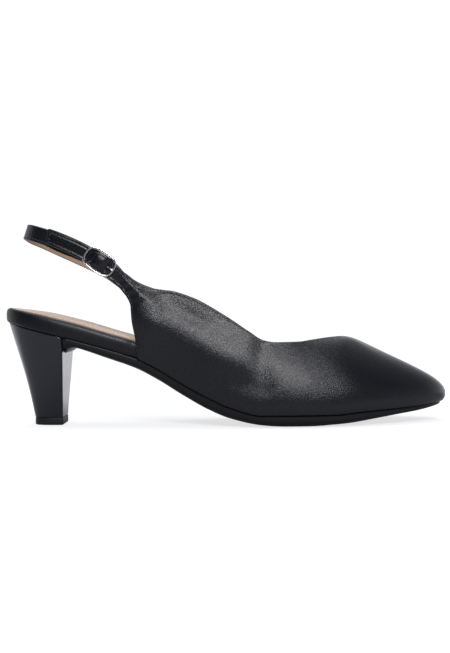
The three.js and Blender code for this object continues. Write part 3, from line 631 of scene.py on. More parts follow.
def upper_sheet(step=1.3, fine=0.55, between=24, end_corner=1.5):
    """The whole outer face of the upper as a grid, from the tip of the outer strap round the toe to the
    end of the inner strap, with each point's distances from the edges."""
    grids, rear = [], []
    for part in (upper_side(OUTER_RIBS, -1), upper_side(INNER_RIBS, 1)):
        length = part.stations[-1]
        places = [EDGE_STEPS, np.arange(EDGE_STEPS[-1] + step, length, step), [length]]
        if part.side < 0:
            buckle_at = np.interp(BUCKLE.centre[0], part.tops[:, 0], part.stations)
            reach = 1.1 * BUCKLE_LENGTH / 2
            places.append(buckle_at + np.arange(-reach, reach, fine))
        at = np.unique(np.round(np.concatenate(places), 2))
        at = at[np.append(True, np.diff(at) > 0.04)]
        at[-1] = length
        ribs = []
        for distance, line in zip(at, rib_lines(part, at)):
            arc = lengths(line)
            trim = corner_trim(distance, end_corner)
            places = trim + rib_steps(arc[-1] - 2 * trim, between)
            edges = [places - trim, arc[-1] - trim - places, np.full_like(places, distance)]
            ribs.append(np.column_stack([resample(line, arc, places), *edges]))
        order = slice(None) if part.side < 0 else slice(-2, None, -1)
        grids.append(np.array(ribs)[order])
        rear.append((at < part.stations[part.corner])[order])
    grid = np.vstack(grids)
    sheet = SimpleNamespace(points=grid[..., :3], top=grid[..., 3], low=grid[..., 4], end=grid[..., 5])
    sheet.rear = np.concatenate(rear)
    sheet.points[..., 1] += np.sign(sheet.points[..., 1]) * quarter_lean(sheet)
    sheet.normals = normals_of(sheet.points)
    sheet.edge = np.minimum.reduce([sheet.top, sheet.low, sheet.end])
    foot = np.where(sheet.rear[:, None], sheet.low, SOLE_SIDE_RIM * sheet.low)
    sheet.rim = np.minimum.reduce([sheet.top, foot, sheet.end])
    return sheet


def quarter_lean(sheet):
    """How far the quarters stand out: they lean in at the top and swell below it, as they do when worn."""
    share = sheet.top / (sheet.top + sheet.low)
    out = follow([0, 0.45, 0.75, 1], [-1.6, 1.4, 0.8, 0], share)[..., 0]
    along = to_along(sheet.points[..., 0])
    quarter = smoothstep(along, 0.27, 0.315) * (1 - smoothstep(along, 0.45, 0.57))
    quarter = quarter * (1.45 - 0.45 * smoothstep(along, 0.33, 0.4))
    twist = smoothstep(along, 0.25, 0.27) * (1 - smoothstep(along, 0.285, 0.33))
    return out * quarter + 0.7 * (1 - 2 * share) * twist


def trough(points, row):
    """The depth of one crease at some points, which fades towards its ends."""
    start, end = np.array(row["start"]), np.array(row["end"])
    run = end - start
    flat = points[..., [0, 2]] - start
    t = np.clip(flat @ run / (run @ run), 0, 1)
    distance = np.linalg.norm(flat - t[..., None] * run, axis=-1)
    fade = 0.35 + 0.65 * np.sin(np.pi * np.clip(t, 0.05, 0.95))
    return row["depth"] * fade * np.exp(-((distance / row["width"]) ** 2))


def seam_groove(distance, inset, depth=0.16, width=0.32):
    """The groove that a row of stitches pulls into the leather."""
    return -depth * np.exp(-(((distance - inset) / width) ** 2))


def upper_relief(sheet, inset):
    """Seams, rolled edges, creases and slight unevenness of the upper's outer face."""
    free_low = np.where(sheet.rear[:, None], sheet.low, 99.0)
    free = np.minimum.reduce([sheet.top, free_low, sheet.end])
    behind = smoothstep(sheet.points[..., 0], to_x(0.40), to_x(0.36))
    seam = np.minimum(free_low, np.where(behind > 0, free, 99.0))
    relief = seam_groove(seam, inset) * np.maximum(behind, sheet.rear[:, None])
    relief = relief + 0.1 * np.sin(np.pi * np.clip(free / inset, 0, 1))
    outer_side = sheet.points[..., 1] < 0
    billet = 1 - smoothstep(sheet.points[..., 0], BUCKLE.centre[0] - 14, BUCKLE.centre[0] - 5)
    relief = relief - 0.55 * billet * outer_side * np.exp(-((sheet.top / 1.3) ** 2))
    for row in CREASES:
        relief = relief - np.where(outer_side, trough(sheet.points, row), 0.6 * trough(sheet.points, row))
    x, y, z = np.moveaxis(sheet.points, -1, 0)
    waves = np.sin(x / 7.3 + y / 11.0 + 0.6) * np.sin(z / 6.1 + 1.1) + 0.5 * np.sin(x / 3.9 - z / 4.7 + 2.0)
    return relief - 0.06 + 0.025 * waves * smoothstep(sheet.edge, 2, 8)


# The sling strap
def strap_sheet(between=10, step=1.5, end_corner=0.4):
    """The outer face of the sling strap as a grid, from its inner end to the buckle's bar."""
    rows = [(to_x(r["along"]), r["out"] * HALF_SEAT, r["up"] * QUARTER_HEIGHT) for r in STRAP]
    rows = [(x, y, float(bottom_z(x)) + z) for x, y, z in rows]
    steps = 24
    curve = smooth_curve(rows, steps, False)
    lean = follow(np.arange(len(STRAP)) * steps, [r["lean"] for r in STRAP], np.arange(len(curve)))[:, 0]
    arc = lengths(curve)
    inside = np.arange(EDGE_STEPS[-1] + step, arc[-1] - EDGE_STEPS[-1] - step, step)
    at = np.concatenate([EDGE_STEPS, inside, (arc[-1] - EDGE_STEPS)[::-1]])
    middle = resample(curve, arc, at)
    lean = np.radians(np.interp(at, arc, lean))[:, None]
    run = unit(resample(np.gradient(curve, axis=0), arc, at))
    up = unit(np.array([0, 0, 1.0]) - run * run[:, 2:])
    out = np.cross(run, up)
    across = up * np.cos(lean) - out * np.sin(lean)
    normal = out * np.cos(lean) + up * np.sin(lean)
    to_end = np.minimum(at, arc[-1] - at)
    trim = corner_trim(to_end, end_corner)
    places = np.array([rib_steps(STRAP_WIDTH - 2 * t, between) for t in trim])
    offset = STRAP_WIDTH / 2 - trim[:, None] - places
    points = middle[:, None, :] + across[:, None, :] * offset[..., None]
    sheet = SimpleNamespace(points=points, top=places, low=places[:, ::-1])
    sheet.normals = np.repeat(normal[:, None, :], places.shape[1], axis=1)
    sheet.end = np.repeat(to_end[:, None], places.shape[1], axis=1)
    sheet.edge = sheet.rim = np.minimum.reduce([sheet.top, sheet.low, sheet.end])
    return sheet


# Stitches
def row_line(sheet, distance, which, columns):
    """The line at a distance from the top or lower edge of a sheet, over some of its columns."""
    line = []
    for k in columns:
        place = getattr(sheet, which)[k]
        order = np.argsort(place)
        both = np.hstack([sheet.outer[k], sheet.normals[k]])[order]
        line.append(resample(both, place[order], [distance])[0])
    line = np.array(line)
    return line[:, :3], line[:, 3:]


def stitch_mesh(lines, pitch, length, width, proud=0.12, sides=6):
    """Stitches along some lines, each a short thread that dives into the leather at both ends."""
    knots = np.linspace(-1, 1, 6)
    bulge = np.sqrt(np.clip(1 - knots**2, 0.02, 1))
    height = ((proud + width / 2) * bulge - width / 2)[:, None]
    thick = (width / 2 * (0.45 + 0.55 * bulge))[:, None, None]
    cos, sin = (turn[None, :, None] for turn in round_turn(sides))
    blocks, faces = [], []
    for line, normals in lines:
        arc = lengths(line)
        count = max(1, int(arc[-1] / pitch))
        for centre in (np.arange(count) + 0.5) * arc[-1] / count:
            at = np.clip(centre + knots * length / 2, 0, arc[-1])
            p = resample(line, arc, at)
            n = unit(resample(normals, arc, at))
            aside = np.cross(n, unit(np.gradient(p, axis=0)))
            thread = cos * aside[:, None] + 0.85 * sin * n[:, None]
            faces += tube_faces(len(knots), sides, len(blocks) * len(knots) * sides)
            blocks.append((p + n * height)[:, None] + thick * thread)
    return np.concatenate(blocks).reshape(-1, 3), faces


def sew(name, lines, slot, scale=1.0, width=None):
    """Add the stitches along some lines as one piece."""
    sizes = bpy.context.scene.pump_sizes
    pitch, length = sizes.stitch_pitch * scale, sizes.stitch_length * scale
    mesh = stitch_mesh(lines, pitch, length, width or sizes.thread_width)
    add_piece(name, *mesh, ["thread"], slot, weld=FINE_WELD)


# Solids that follow the outline of the last
def slab_loops(start, steps, rings, under, over, round_back=True, setback_at=None):
    """Both edges of each ring of a slab, from one X to the tip: shape (ring, side, station, 3)."""
    t = np.linspace(0, 1, steps + 1)
    t = (1 - np.cos(np.pi * t)) / 2 if round_back else np.sin(np.pi / 2 * t)
    x = start + (TIP_X - start) * t
    extra = setback_at(x) if setback_at else np.zeros_like(x)
    loops = np.zeros((len(rings), 2, steps + 1, 3))
    for k, (height, setback) in enumerate(rings):
        for s, side in enumerate((-1, 1)):
            share = round_at(side, x)
            share[-1] = 1
            if round_back:
                share[0] = 0
            p, _ = round_point(side, share, -setback - extra)
            if not round_back:
                p[:, 0] = np.maximum(p[:, 0], start)
            low, high = under(p[:, 0]), over(p[:, 0])
            loops[k, s, :, :2] = p
            loops[k, s, :, 2] = low + (high - low) * height
    return loops


def slab_mesh(loops, open_back=False, across=10, crown=None):
    """A closed mesh from a slab's loops. Its faces run across in steps, and crown shapes the top one."""
    rings, _, count, _ = loops.shape
    points, faces = [], []

    def add(block, flip=False):
        start = sum(len(b) for b in points)
        faces.extend(grid_faces(block.shape[0], block.shape[1], start, flip).tolist())
        points.append(block.reshape(-1, 3))

    add(loops[:, 0])
    add(loops[:, 1], True)
    share = np.linspace(0, 1, across + 1)[:, None, None]
    for ring, flip in ((0, True), (rings - 1, False)):
        block = loops[ring, 0][None] * (1 - share) + loops[ring, 1][None] * share
        if crown is not None and ring:
            block = block.copy()
            block[..., 2] += crown(share[..., 0], block[..., 0])
        add(block, flip)
    if open_back:
        back = loops[:, 0, 0][None] * (1 - share) + loops[:, 1, 0][None] * share
        add(back)
    return np.vstack(points), faces


def heel_outline(back, front, half, square, steps=40, corner=0.7):
    """One level of the heel: a rounded D with its flat side to the front and soft corners."""
    power = 2 / (2 + 1.2 * square)
    angle = np.pi * np.arange(steps + 1) / steps - np.pi / 2
    depth = np.cos(angle) ** power
    aside = np.sign(np.sin(angle)) * np.abs(np.sin(angle)) ** power
    x = front - (front - back) * depth
    y = -aside * half
    turn = np.pi / 2 * np.linspace(0, 1, 6)
    bend_x = front - corner + corner * np.sin(turn)
    bend_y = half - corner + corner * np.cos(turn)
    flat = np.linspace(1, -1, 9)[1:-1] * (half - corner)
    keep = x < front - corner
    first = np.stack([bend_x, bend_y], axis=1)[::-1]
    last = np.stack([bend_x, -bend_y], axis=1)
    breast = np.stack([np.full(len(flat), front), -flat], axis=1)
    return np.vstack([first, np.stack([x, y], axis=1)[keep], last, breast])


def loft_mesh(sections, closed=False):
    """A mesh through sections of equal length, closed into a ring or with flat ends."""
    sections = np.asarray(sections)
    rows, columns = sections.shape[:2]
    if closed:
        return sections.reshape(-1, 3), grid_faces(rows, columns, closed_rows=True, closed_columns=True)
    return sections.reshape(-1, 3), tube_faces(rows, columns)


def wire_sections(path, radii, sides=14, closed=False):
    """Round sections along a path in the buckle's frame: along the strap, across it, and out."""
    path = np.asarray(path, float)
    world = BUCKLE.centre + path @ np.array([BUCKLE.run, BUCKLE.across, BUCKLE.out])
    first, last = (world[-1:], world[:1]) if closed else (world[:1], world[-1:])
    padded = np.vstack([first, world, last])
    run = unit(padded[2:] - padded[:-2])
    aside = unit(BUCKLE.out - run * (run @ BUCKLE.out)[:, None])
    other = np.cross(run, aside)
    cos, sin = (turn[None, :, None] for turn in round_turn(sides))
    radii = np.broadcast_to(radii, len(path))[:, None, None]
    return world[:, None] + radii * (cos * aside[:, None] + sin * other[:, None])


# Shader nodes
def feed(tree, value, socket):
    """Link a socket to an input, or set the input to a value."""
    if isinstance(value, bpy.types.NodeSocket):
        tree.links.new(value, socket)
    else:
        socket.default_value = value


def add_node(tree, kind, inputs=None, **settings):
    """A shader node with its settings, and with its inputs linked or set."""
    node = tree.nodes.new("ShaderNode" + kind)
    for key, value in settings.items():
        setattr(node, key, value)
    for key, value in (inputs or {}).items():
        feed(tree, value, node.inputs[key])
    return node


def math_node(tree, operation, *values, clamp=False):
    """The output of a Math node."""
    return add_node(tree, "Math", dict(enumerate(values)), operation=operation, use_clamp=clamp).outputs[0]


def ramp(tree, value, low, high, least=0.0, most=1.0, way="LINEAR"):
    """A value that runs from least to most while another runs from low to high."""
    inputs = {"Value": value, "From Min": low, "From Max": high, "To Min": least, "To Max": most}
    return add_node(tree, "MapRange", inputs, interpolation_type=way).outputs["Result"]


def noise(tree, where, scale, detail, roughness=0.5):
    """A Noise Texture."""
    inputs = {"Vector": where, "Scale": scale, "Detail": detail, "Roughness": roughness}
    return add_node(tree, "TexNoise", inputs).outputs


def place_at(tree, which="Object"):
    """Texture coordinates, and their parts."""
    where = add_node(tree, "TexCoord").outputs[which]
    return where, add_node(tree, "SeparateXYZ", {0: where}).outputs


def bump_normal(tree, height, strength, distance):
    """The normal that a height gives."""
    inputs = {"Height": height, "Strength": strength, "Distance": distance}
    return add_node(tree, "Bump", inputs).outputs["Normal"]


def blend_colours(tree, mask, first, second):
    """A colour that runs from first to second with a mask."""
    inputs = {0: mask, 6: (*first, 1), 7: (*second, 1)}
    return add_node(tree, "Mix", inputs, data_type="RGBA").outputs[2]


def new_group(name, inputs, outputs):
    """A shader node group with named inputs, given with their defaults, and named outputs."""
    tree = bpy.data.node_groups.new(name, "ShaderNodeTree")
    for key, default in inputs.items():
        socket = tree.interface.new_socket(name=key, in_out="INPUT", socket_type="NodeSocketFloat")
        socket.default_value = default
    for key in outputs:
        tree.interface.new_socket(name=key, in_out="OUTPUT", socket_type="NodeSocketFloat")
    return tree, tree.nodes.new("NodeGroupInput").outputs, tree.nodes.new("NodeGroupOutput").inputs


def grain_group():
    """Leather grain: pebbles with fine pores, as a height and as a mask of the furrows between them."""
    defaults = {"Pebbles per metre": 1500, "Pores": 0.3}
    tree, given, out = new_group("Leather grain", defaults, ("Height", "Furrows"))
    where, _ = place_at(tree)
    wander = noise(tree, where, 420, 3)["Color"]
    shift = add_node(tree, "VectorMath", {0: wander, 1: (0.0005,) * 3, 2: where}, operation="MULTIPLY_ADD")
    inputs = {"Vector": shift.outputs[0], "Scale": given["Pebbles per metre"], "Smoothness": 0.35}
    gap = add_node(tree, "TexVoronoi", inputs, feature="SMOOTH_F1").outputs["Distance"]
    pores = noise(tree, where, math_node(tree, "MULTIPLY", given["Pebbles per metre"], 2.6), 4)["Fac"]
    fine = math_node(tree, "MULTIPLY", pores, given["Pores"])
    feed(tree, math_node(tree, "ADD", math_node(tree, "SUBTRACT", 1.0, gap), fine), out["Height"])
    feed(tree, ramp(tree, gap, 0.35, 0.75), out["Furrows"])
    return tree


def rub_group():
    """Handling marks: soft patches and fine scuffs where the surface is a little duller or lighter."""
    tree, given, out = new_group("Rub marks", {"Patch size": 60}, ("Patches", "Scuffs"))
    where, _ = place_at(tree)
    feed(tree, noise(tree, where, given["Patch size"], 5, 0.6)["Fac"], out["Patches"])
    stretch = add_node(tree, "Mapping", {"Vector": where, "Scale": (90, 400, 1400)}).outputs[0]
    feed(tree, ramp(tree, noise(tree, stretch, 1, 2)["Fac"], 0.6, 0.75), out["Scuffs"])
    return tree


def shared_group(tree, name, make, inputs=None):
    """The outputs of a node group that is built once and then used again."""
    return add_node(tree, "Group", inputs, node_tree=bpy.data.node_groups.get(name) or make()).outputs


# Materials
def new_material(name):
    """A node material and its tree."""
    material = bpy.data.materials.new(name)
    material.use_nodes = True
    return material, material.node_tree


def set_surface(material, inputs):
    """Feed the Principled BSDF of a material."""
    tree = material.node_tree
    for key, value in inputs.items():
        feed(tree, value, tree.nodes["Principled BSDF"].inputs[key])
    return material


# Where the grain fades out: on the straps, on the toe and next to the sole, in metres
GRAIN_FADES = (("X", -0.072, -0.056), ("X", 0.09, 0.05), ("Z", 0.004, 0.018))
FADED_GLOSS = 0.06
PATCH_SPREAD = 0.12
LEATHERS = rows_of(
    "name colour furrow roughness pebbles bump fade spread coat specular",
    ("upper leather", "leather", 0.6, 0.24, 1900, 0.5, 0.9, 0.06, 0.1, 0.5),
    ("edge leather", "leather", 0.6, 0.34, 2600, 0.1, 0, PATCH_SPREAD, 0, 0.4),
    ("lining", "lining", 0.82, 0.62, 2400, 0.25, 0, PATCH_SPREAD, 0, 0.3),
    ("sock leather", "sock", 0.9, 0.6, 2200, 0.2, 0, PATCH_SPREAD, 0, 0.3),
)
SMOOTH_FINISHES = rows_of(
    "name colour mark roughness coat specular bump patch metallic",
    ("sole", "sole", (0.01, 0.01, 0.011), 0.42, 0, 0.35, 0.1, 60, 0),
    ("heel lacquer", "heel", (0.014, 0.014, 0.016), 0.2, 0.5, 0.5, 0.05, 60, 0),
    ("rubber", (0.01, 0.011, 0.013), (0.02, 0.02, 0.02), 0.5, 0, 0.5, 0.1, 60, 0),
    ("chrome", "metal", (0.72, 0.72, 0.74), 0.1, 0, 0.5, 0.01, 200, 1),
    # The hole finish is painted shade: near black and matt, it stands in for the shade inside the strap's
    # punched hole.
    ("hole", (0.003, 0.003, 0.003), (0.004, 0.004, 0.004), 0.8, 0, 0.1, 0.05, 60, 0),
)


def leather(name, colour, furrow, roughness, pebbles, bump, fade, spread, coat, specular):
    """Grained leather with darker furrows and uneven gloss, whose grain can fade."""
    material, tree = new_material(name)
    grain = shared_group(tree, "Leather grain", grain_group, {"Pebbles per metre": pebbles})
    patches = shared_group(tree, "Rub marks", rub_group)["Patches"]
    _, parts = place_at(tree)
    kept = 1.0
    for axis, low, high in GRAIN_FADES:
        full = ramp(tree, parts[axis], low, high, 1 - fade, way="SMOOTHSTEP")
        kept = math_node(tree, "MULTIPLY", full, kept)
    rough = math_node(tree, "MULTIPLY", patches, spread)
    rough = math_node(tree, "ADD", rough, roughness - spread / 2)
    rough = math_node(tree, "ADD", rough, math_node(tree, "MULTIPLY", grain["Furrows"], 0.15))
    gloss = math_node(tree, "MULTIPLY_ADD", kept, FADED_GLOSS, -FADED_GLOSS)
    height = math_node(tree, "MULTIPLY", grain["Height"], kept)
    dark = [c * furrow for c in colour]
    inputs = {
        "Base Color": blend_colours(tree, grain["Furrows"], colour, dark),
        "Roughness": math_node(tree, "ADD", rough, gloss, clamp=True),
        "Specular IOR Level": specular,
        "Coat Weight": coat,
        "Coat Roughness": 0.25,
        "Normal": bump_normal(tree, height, bump, 0.00025),
    }
    return set_surface(material, inputs)


def smooth_finish(name, colour, mark, roughness, coat, specular, bump, patch, metallic):
    """A smooth moulded, lacquered or metal surface with faint patches, scuffs and waviness."""
    material, tree = new_material(name)
    rub = shared_group(tree, "Rub marks", rub_group, {"Patch size": patch})
    uneven = math_node(tree, "MULTIPLY", rub["Patches"], PATCH_SPREAD)
    inputs = {
        "Base Color": blend_colours(tree, rub["Scuffs"], colour, mark),
        "Roughness": math_node(tree, "ADD", uneven, roughness - PATCH_SPREAD / 2, clamp=True),
        "Metallic": metallic,
        "Specular IOR Level": specular,
        "Coat Weight": coat,
        "Coat Roughness": 0.08,
        "Normal": bump_normal(tree, rub["Patches"], bump, 0.0004),
    }
    return set_surface(material, inputs)


def twisted_thread(name, colour):
    """Sewing thread with the bands of its twist."""
    material, tree = new_material(name)
    inputs = {"Vector": place_at(tree)[0], "Scale": 900}
    twist = add_node(tree, "TexWave", inputs, bands_direction="DIAGONAL").outputs["Fac"]
    inputs = {
        "Base Color": blend_colours(tree, twist, [c * 0.55 for c in colour], colour),
        "Roughness": 0.5,
        "Normal": bump_normal(tree, twist, 0.3, 0.0001),
    }
    return set_surface(material, inputs)


def finish_named(name):
    """One of the shoe's finishes, made when it is first asked for."""
    if name in bpy.data.materials:
        return bpy.data.materials[name]
    chosen = bpy.context.scene.pump_colours
    if name == "thread":
        return twisted_thread(name, tuple(chosen.thread))
    for rows, make in ((LEATHERS, leather), (SMOOTH_FINISHES, smooth_finish)):
        for row in rows:
            if row["name"] == name:
                colour = row["colour"]
                colour = tuple(getattr(chosen, colour)) if isinstance(colour, str) else colour
                return make(**{**row, "colour": colour})
    raise ValueError(f"there is no finish named {name}")


# Sizes and colours that a user would change
def millimetres(name, description, default, low, high):
    """A length in millimetres that a user can set."""
    words = f"{description}, in millimetres"
    return bpy.props.FloatProperty(name=name, description=words, default=default, min=low, max=high)


def colour(name, description, default):
    """A colour that a user can set."""
    words = f"Colour of {description}"
    return bpy.props.FloatVectorProperty(
        name=name, description=words, default=default, subtype="COLOR", size=3, min=0, max=1
    )


class PumpSizes(bpy.types.PropertyGroup):
    """Sizes of the pump's finish."""

    seam_inset: millimetres("Seam Inset", "Distance of the stitches from the edge", 1.9, 0.8, 3.0)
    stitch_pitch: millimetres("Stitch Pitch", "Distance from stitch to stitch", 2.1, 1.0, 5.0)
    stitch_length: millimetres("Stitch Length", "Length of one stitch", 1.5, 0.5, 4.0)
    thread_width: millimetres("Thread Width", "Thickness of the thread", 0.38, 0.1, 1.0)


class PumpColours(bpy.types.PropertyGroup):
    """Colours of the pump's finish."""

    leather: colour("Leather", "the upper, the straps and the covered edge", (0.0065, 0.007, 0.0108))
    lining: colour("Lining", "the lining of the upper and of the strap", (0.42, 0.29, 0.2))
    sock: colour("Sock", "the sock lining", (0.57, 0.455, 0.36))
    sole: colour("Sole", "the outsole", (0.0075, 0.0076, 0.0092))
    heel: colour("Heel", "the heel", (0.006, 0.009, 0.014))
    metal: colour("Metal", "the buckle", (0.86, 0.86, 0.88))
    thread: colour("Thread", "the stitches", (0.085, 0.085, 0.088))


# How far from the end of each strap its upper edge is sewn too
STRAP_SEAM_REACH = {-1: 58.0, 1: 26.0}


def over_buckle(sheet, columns):
    """Which columns lie under or next to the buckle's ring, where no stitch shows."""
    middle = sheet.points[columns, sheet.points.shape[1] // 2]
    along = np.abs((middle - BUCKLE.centre) @ BUCKLE.run)
    return (along < BUCKLE_LENGTH / 2 + 0.6) & (middle[:, 1] < 0)


def split_line(sheet, columns, which, distance):
    """Lines at a distance from an edge, one for each unbroken run of columns."""
    runs = np.split(columns, np.nonzero(np.diff(columns) > 1)[0] + 1)
    return [row_line(sheet, distance, which, run) for run in runs if len(run) > 3]


def end_line(sheet, columns, distance):
    """The line across the end of a strap, at a distance from it."""
    k = columns[np.argmin(np.abs(sheet.end[columns, 0] - distance))]
    inside = (sheet.top[k] >= distance) & (sheet.low[k] >= distance)
    return sheet.outer[k][inside], sheet.normals[k][inside]


def punched_hole(sheet, sides=24):
    """The free hole of the strap, a shallow pit with a raised rim on the dome over the bar; its floor is
    painted near black, painted shade for the dark depth of the hole.
    """
    flat = sheet.outer - BUCKLE.centre
    place = np.stack([flat @ BUCKLE.run + 0.3, flat @ BUCKLE.across - 1.7], axis=-1)
    distance = np.linalg.norm(place, axis=-1) + np.where(sheet.points[..., 1] < 0, 0, 99)
    i, j = np.unravel_index(np.argmin(distance), distance.shape)
    centre, out = sheet.outer[i, j], sheet.normals[i, j]
    along = unit(BUCKLE.run - out * (BUCKLE.run @ out))
    cos, sin = (turn[:, None] for turn in round_turn(sides))
    circle = cos * along + sin * np.cross(out, along)
    profile = ((1.0, -0.08), (0.88, 0.06), (0.76, 0.1), (0.66, 0.03), (0.62, -0.1))
    sections = [centre + circle * radius + out * height for radius, height in profile]
    faces = tube_faces(len(profile), sides)
    # The last face, the pit's floor, takes the near-black hole finish: painted shade in place of the dark
    # inside of the hole.
    indices = [0] * (len(faces) - 1) + [1]
    finishes = ("edge leather", "hole")
    add_piece("strap_hole", np.vstack(sections), faces, finishes, "upper_leather", (), indices, FINE_WELD)


class PUMP_OT_upper(bpy.types.Operator):
    """Add the leather upper with its lining, its stitches and the strap's free hole"""

    bl_idname = "pump.upper"
    bl_label = "Add Upper"

    def execute(self, context):
        """Build the sheet, then sew its rear edge and straps."""
        inset = context.scene.pump_sizes.seam_inset
        sheet = upper_sheet()
        relief = upper_relief(sheet, inset)
        leather_sheet("upper_leather", sheet, UPPER_WALL, relief, "upper leather", 1.0, ["upper"])
        lines = []
        rear = np.nonzero(sheet.rear)[0]
        for side in (-1, 1):
            columns = rear[(sheet.points[rear, 0, 1] < 0) == (side < 0)]
            kept = columns[(sheet.end[columns, 0] > inset) & ~over_buckle(sheet, columns)]
            lines += split_line(sheet, kept, "low", inset)
            straps = kept[sheet.end[kept, 0] < STRAP_SEAM_REACH[side]]
            lines += split_line(sheet, straps, "top", inset)
            lines.append(end_line(sheet, columns, inset))
        punched_hole(sheet)
        sew("upper_stitches", lines, "upper_leather")
        return {"FINISHED"}


class PUMP_OT_sling_strap(bpy.types.Operator):
    """Add the strap round the heel with its lining and stitches"""

    bl_idname = "pump.sling_strap"
    bl_label = "Add Sling Strap"

    def execute(self, context):
        """Build the strap, then sew along its lower edge."""
        inset = context.scene.pump_sizes.seam_inset - STRAP_SEAM_NEARER
        sheet = strap_sheet()
        relief = seam_groove(sheet.low, inset) + 0.12 * np.sin(np.pi * np.clip(sheet.edge / inset, 0, 1))
        name = "sling_strap_leather"
        leather_sheet(name, sheet, STRAP_THICKNESS, relief, "edge leather", 0.25, ["sling_strap"])
        columns = np.nonzero(sheet.end[:, 0] > inset)[0]
        sew("sling_strap_stitches", [row_line(sheet, inset, "low", columns)], "upper_leather")
        return {"FINISHED"}


class PUMP_OT_buckle(bpy.types.Operator):
    """Add the oval buckle with its bar and prong"""

    bl_idname = "pump.buckle"
    bl_label = "Add Buckle"

    def execute(self, context):
        """Build the ring, the bar and the prong."""
        wire = BUCKLE_WIRE / 2
        half = np.array([BUCKLE_LENGTH, BUCKLE_WIDTH]) / 2 - wire
        turn = np.stack(round_turn(20), axis=1)
        oval = half * np.sign(turn) * np.abs(turn) ** (2 / OVAL_POWER)
        ring = smooth_curve(np.column_stack([oval, np.zeros(len(oval))]), 6, True)
        bar = [(0, w, 0) for w in np.linspace(-half[1], half[1], 9)]
        knots = [(0, 0, 0), (3, 0, -0.1), (5.3, 0, -0.35), (6.7, 0, 0.4), (8.0, 0, 1.05), (9.2, 0, 0.85)]
        prong = smooth_curve(knots, 10, False)
        taper = PRONG_WIRE / 2 * np.sqrt(np.clip(np.linspace(18, 0, len(prong)) / 2.2, 0.03, 1))
        ring_mesh = loft_mesh(wire_sections(ring, wire, 20, True), closed=True)
        add_piece("buckle_ring", *ring_mesh, ["chrome"], "buckle", replaces=["buckle"])
        add_piece("buckle_bar", *loft_mesh(wire_sections(bar, wire * 0.9)), ["chrome"], "buckle")
        add_piece("buckle_prong", *loft_mesh(wire_sections(prong, taper, 16)), ["chrome"], "buckle")
        return {"FINISHED"}


class PUMP_OT_insole(bpy.types.Operator):
    """Add the insole with its covered edge and the seam along it"""

    bl_idname = "pump.insole"
    bl_label = "Add Insole"

    def execute(self, context):
        """Build the rounded edge, then sew along its top."""
        rings = [
            (0, 1.1), (0.02, 0.75), (0.06, 0.42), (0.12, 0.18), (0.22, 0.05), (0.36, 0), (0.5, 0),
            (0.64, 0.04), (0.76, 0.14), (0.86, 0.34), (0.93, 0.62), (0.975, 0.95), (1, 1.35), (1, 1.7),
            (0.985, 2), (1, 2.3),
        ]
        step_x = to_x(QUARTER_ALONG) - INSOLE_STEP_BACK

        def setback_at(x):
            room = smoothstep(to_along(x), TOE_ROOM_FROM, TOE_ROOM_TO) * INSOLE_TOE_ROOM
            return np.where(x > step_x, INSOLE_STEP + room, 0)

        loops = slab_loops(BACK_X, 170, rings, bottom_z, insole_top, setback_at=setback_at)
        add_piece("insole_edge", *slab_mesh(loops), ["edge leather"], "edge_leather", replaces=["insole"])
        share = np.linspace(0, float(round_at(-1, to_x(QUARTER_ALONG))), 160)
        sides = [round_point(side, share, -INSOLE_SEAM_INSET)[0] for side in (-1, 1)]
        line = np.vstack([sides[0][::-1], sides[1][1:]])
        line = np.column_stack([line, insole_top(line[:, 0]) + 0.05])
        up = np.tile([0, 0, 1.0], (len(line), 1))
        sew("insole_stitches", [(line, up)], "edge_leather", 0.8, 0.42)
        return {"FINISHED"}


class PUMP_OT_sock(bpy.types.Operator):
    """Add the sock lining on the insole"""

    bl_idname = "pump.sock"
    bl_label = "Add Sock Lining"

    def execute(self, context):
        """Build the thin lining, slightly hollow under the heel."""
        edge = ((0, 0), (0.45, 0), (0.75, 0.12), (0.92, 0.35), (1, 0.7))
        rings = [(height, SOCK_SETBACK + setback) for height, setback in edge]

        def under(x):
            return insole_top(x) + 0.02

        def over(x):
            return under(x) + 0.25 + SOCK_THICKNESS * smoothstep(to_along(x), 0.02, 0.11)

        def hollow(share, x):
            return -0.5 * (4 * share * (1 - share)) ** 1.5 * smoothstep(x, to_x(0.3), to_x(0.12))

        mesh = slab_mesh(slab_loops(BACK_X, 150, rings, under, over), across=24, crown=hollow)
        add_piece("sock_lining", *mesh, ["sock leather"], "sock_leather", replaces=["sock"])
        return {"FINISHED"}


class PUMP_OT_outsole(bpy.types.Operator):
    """Add the outsole with its soft edge and the lip at the heel breast"""

    bl_idname = "pump.outsole"
    bl_label = "Add Outsole"

    def execute(self, context):
        """Build the sole from the heel breast to the toe."""
        start = to_x(BREAST_ALONG) + CLEARANCE
        edge = (
            (0, 1), (0.03, 0.72), (0.11, 0.42), (0.19, 0.22), (0.28, 0.11), (SOLE_LIP_TOP, 0.04), (0.5, 0),
            (0.9, 0), (0.97, 0.1 / SOLE_EDGE_ROUND), (1, 0.35 / SOLE_EDGE_ROUND),
        )
        rings = [(height, SOLE_SETBACK + setback * SOLE_EDGE_ROUND) for height, setback in edge]

        def plain(x):
            return bottom_z(x) - SOLE(to_along(x)) * SOLE_THICKNESS

        def under(x):
            near = smoothstep(x, -10, 10) * (1 - smoothstep(x, 85, 105))
            mean = sum(plain(np.minimum(x + step, 118)) for step in SOLE_BLEND) / len(SOLE_BLEND)
            return plain(x) + (mean - plain(x)) * near - 0.4 * near * smoothstep(x, 55, 70)

        def over(x):
            return bottom_z(x) - 0.1

        loops = slab_loops(start, 150, rings, under, over, round_back=False)
        lip = SOLE_LIP_DROP * np.clip(1 - (loops[..., 0] - start) / SOLE_LIP_LENGTH, 0, 1) ** 2
        scoop = np.array([max(0, 1 - height / SOLE_LIP_TOP) ** 1.3 for height, _ in rings])
        loops[..., 2] -= lip * scoop[:, None, None]
        mesh = slab_mesh(loops, open_back=True, across=16)
        add_piece("outsole_body", *mesh, ["sole"], "outsole", replaces=["outsole"])
        return {"FINISHED"}


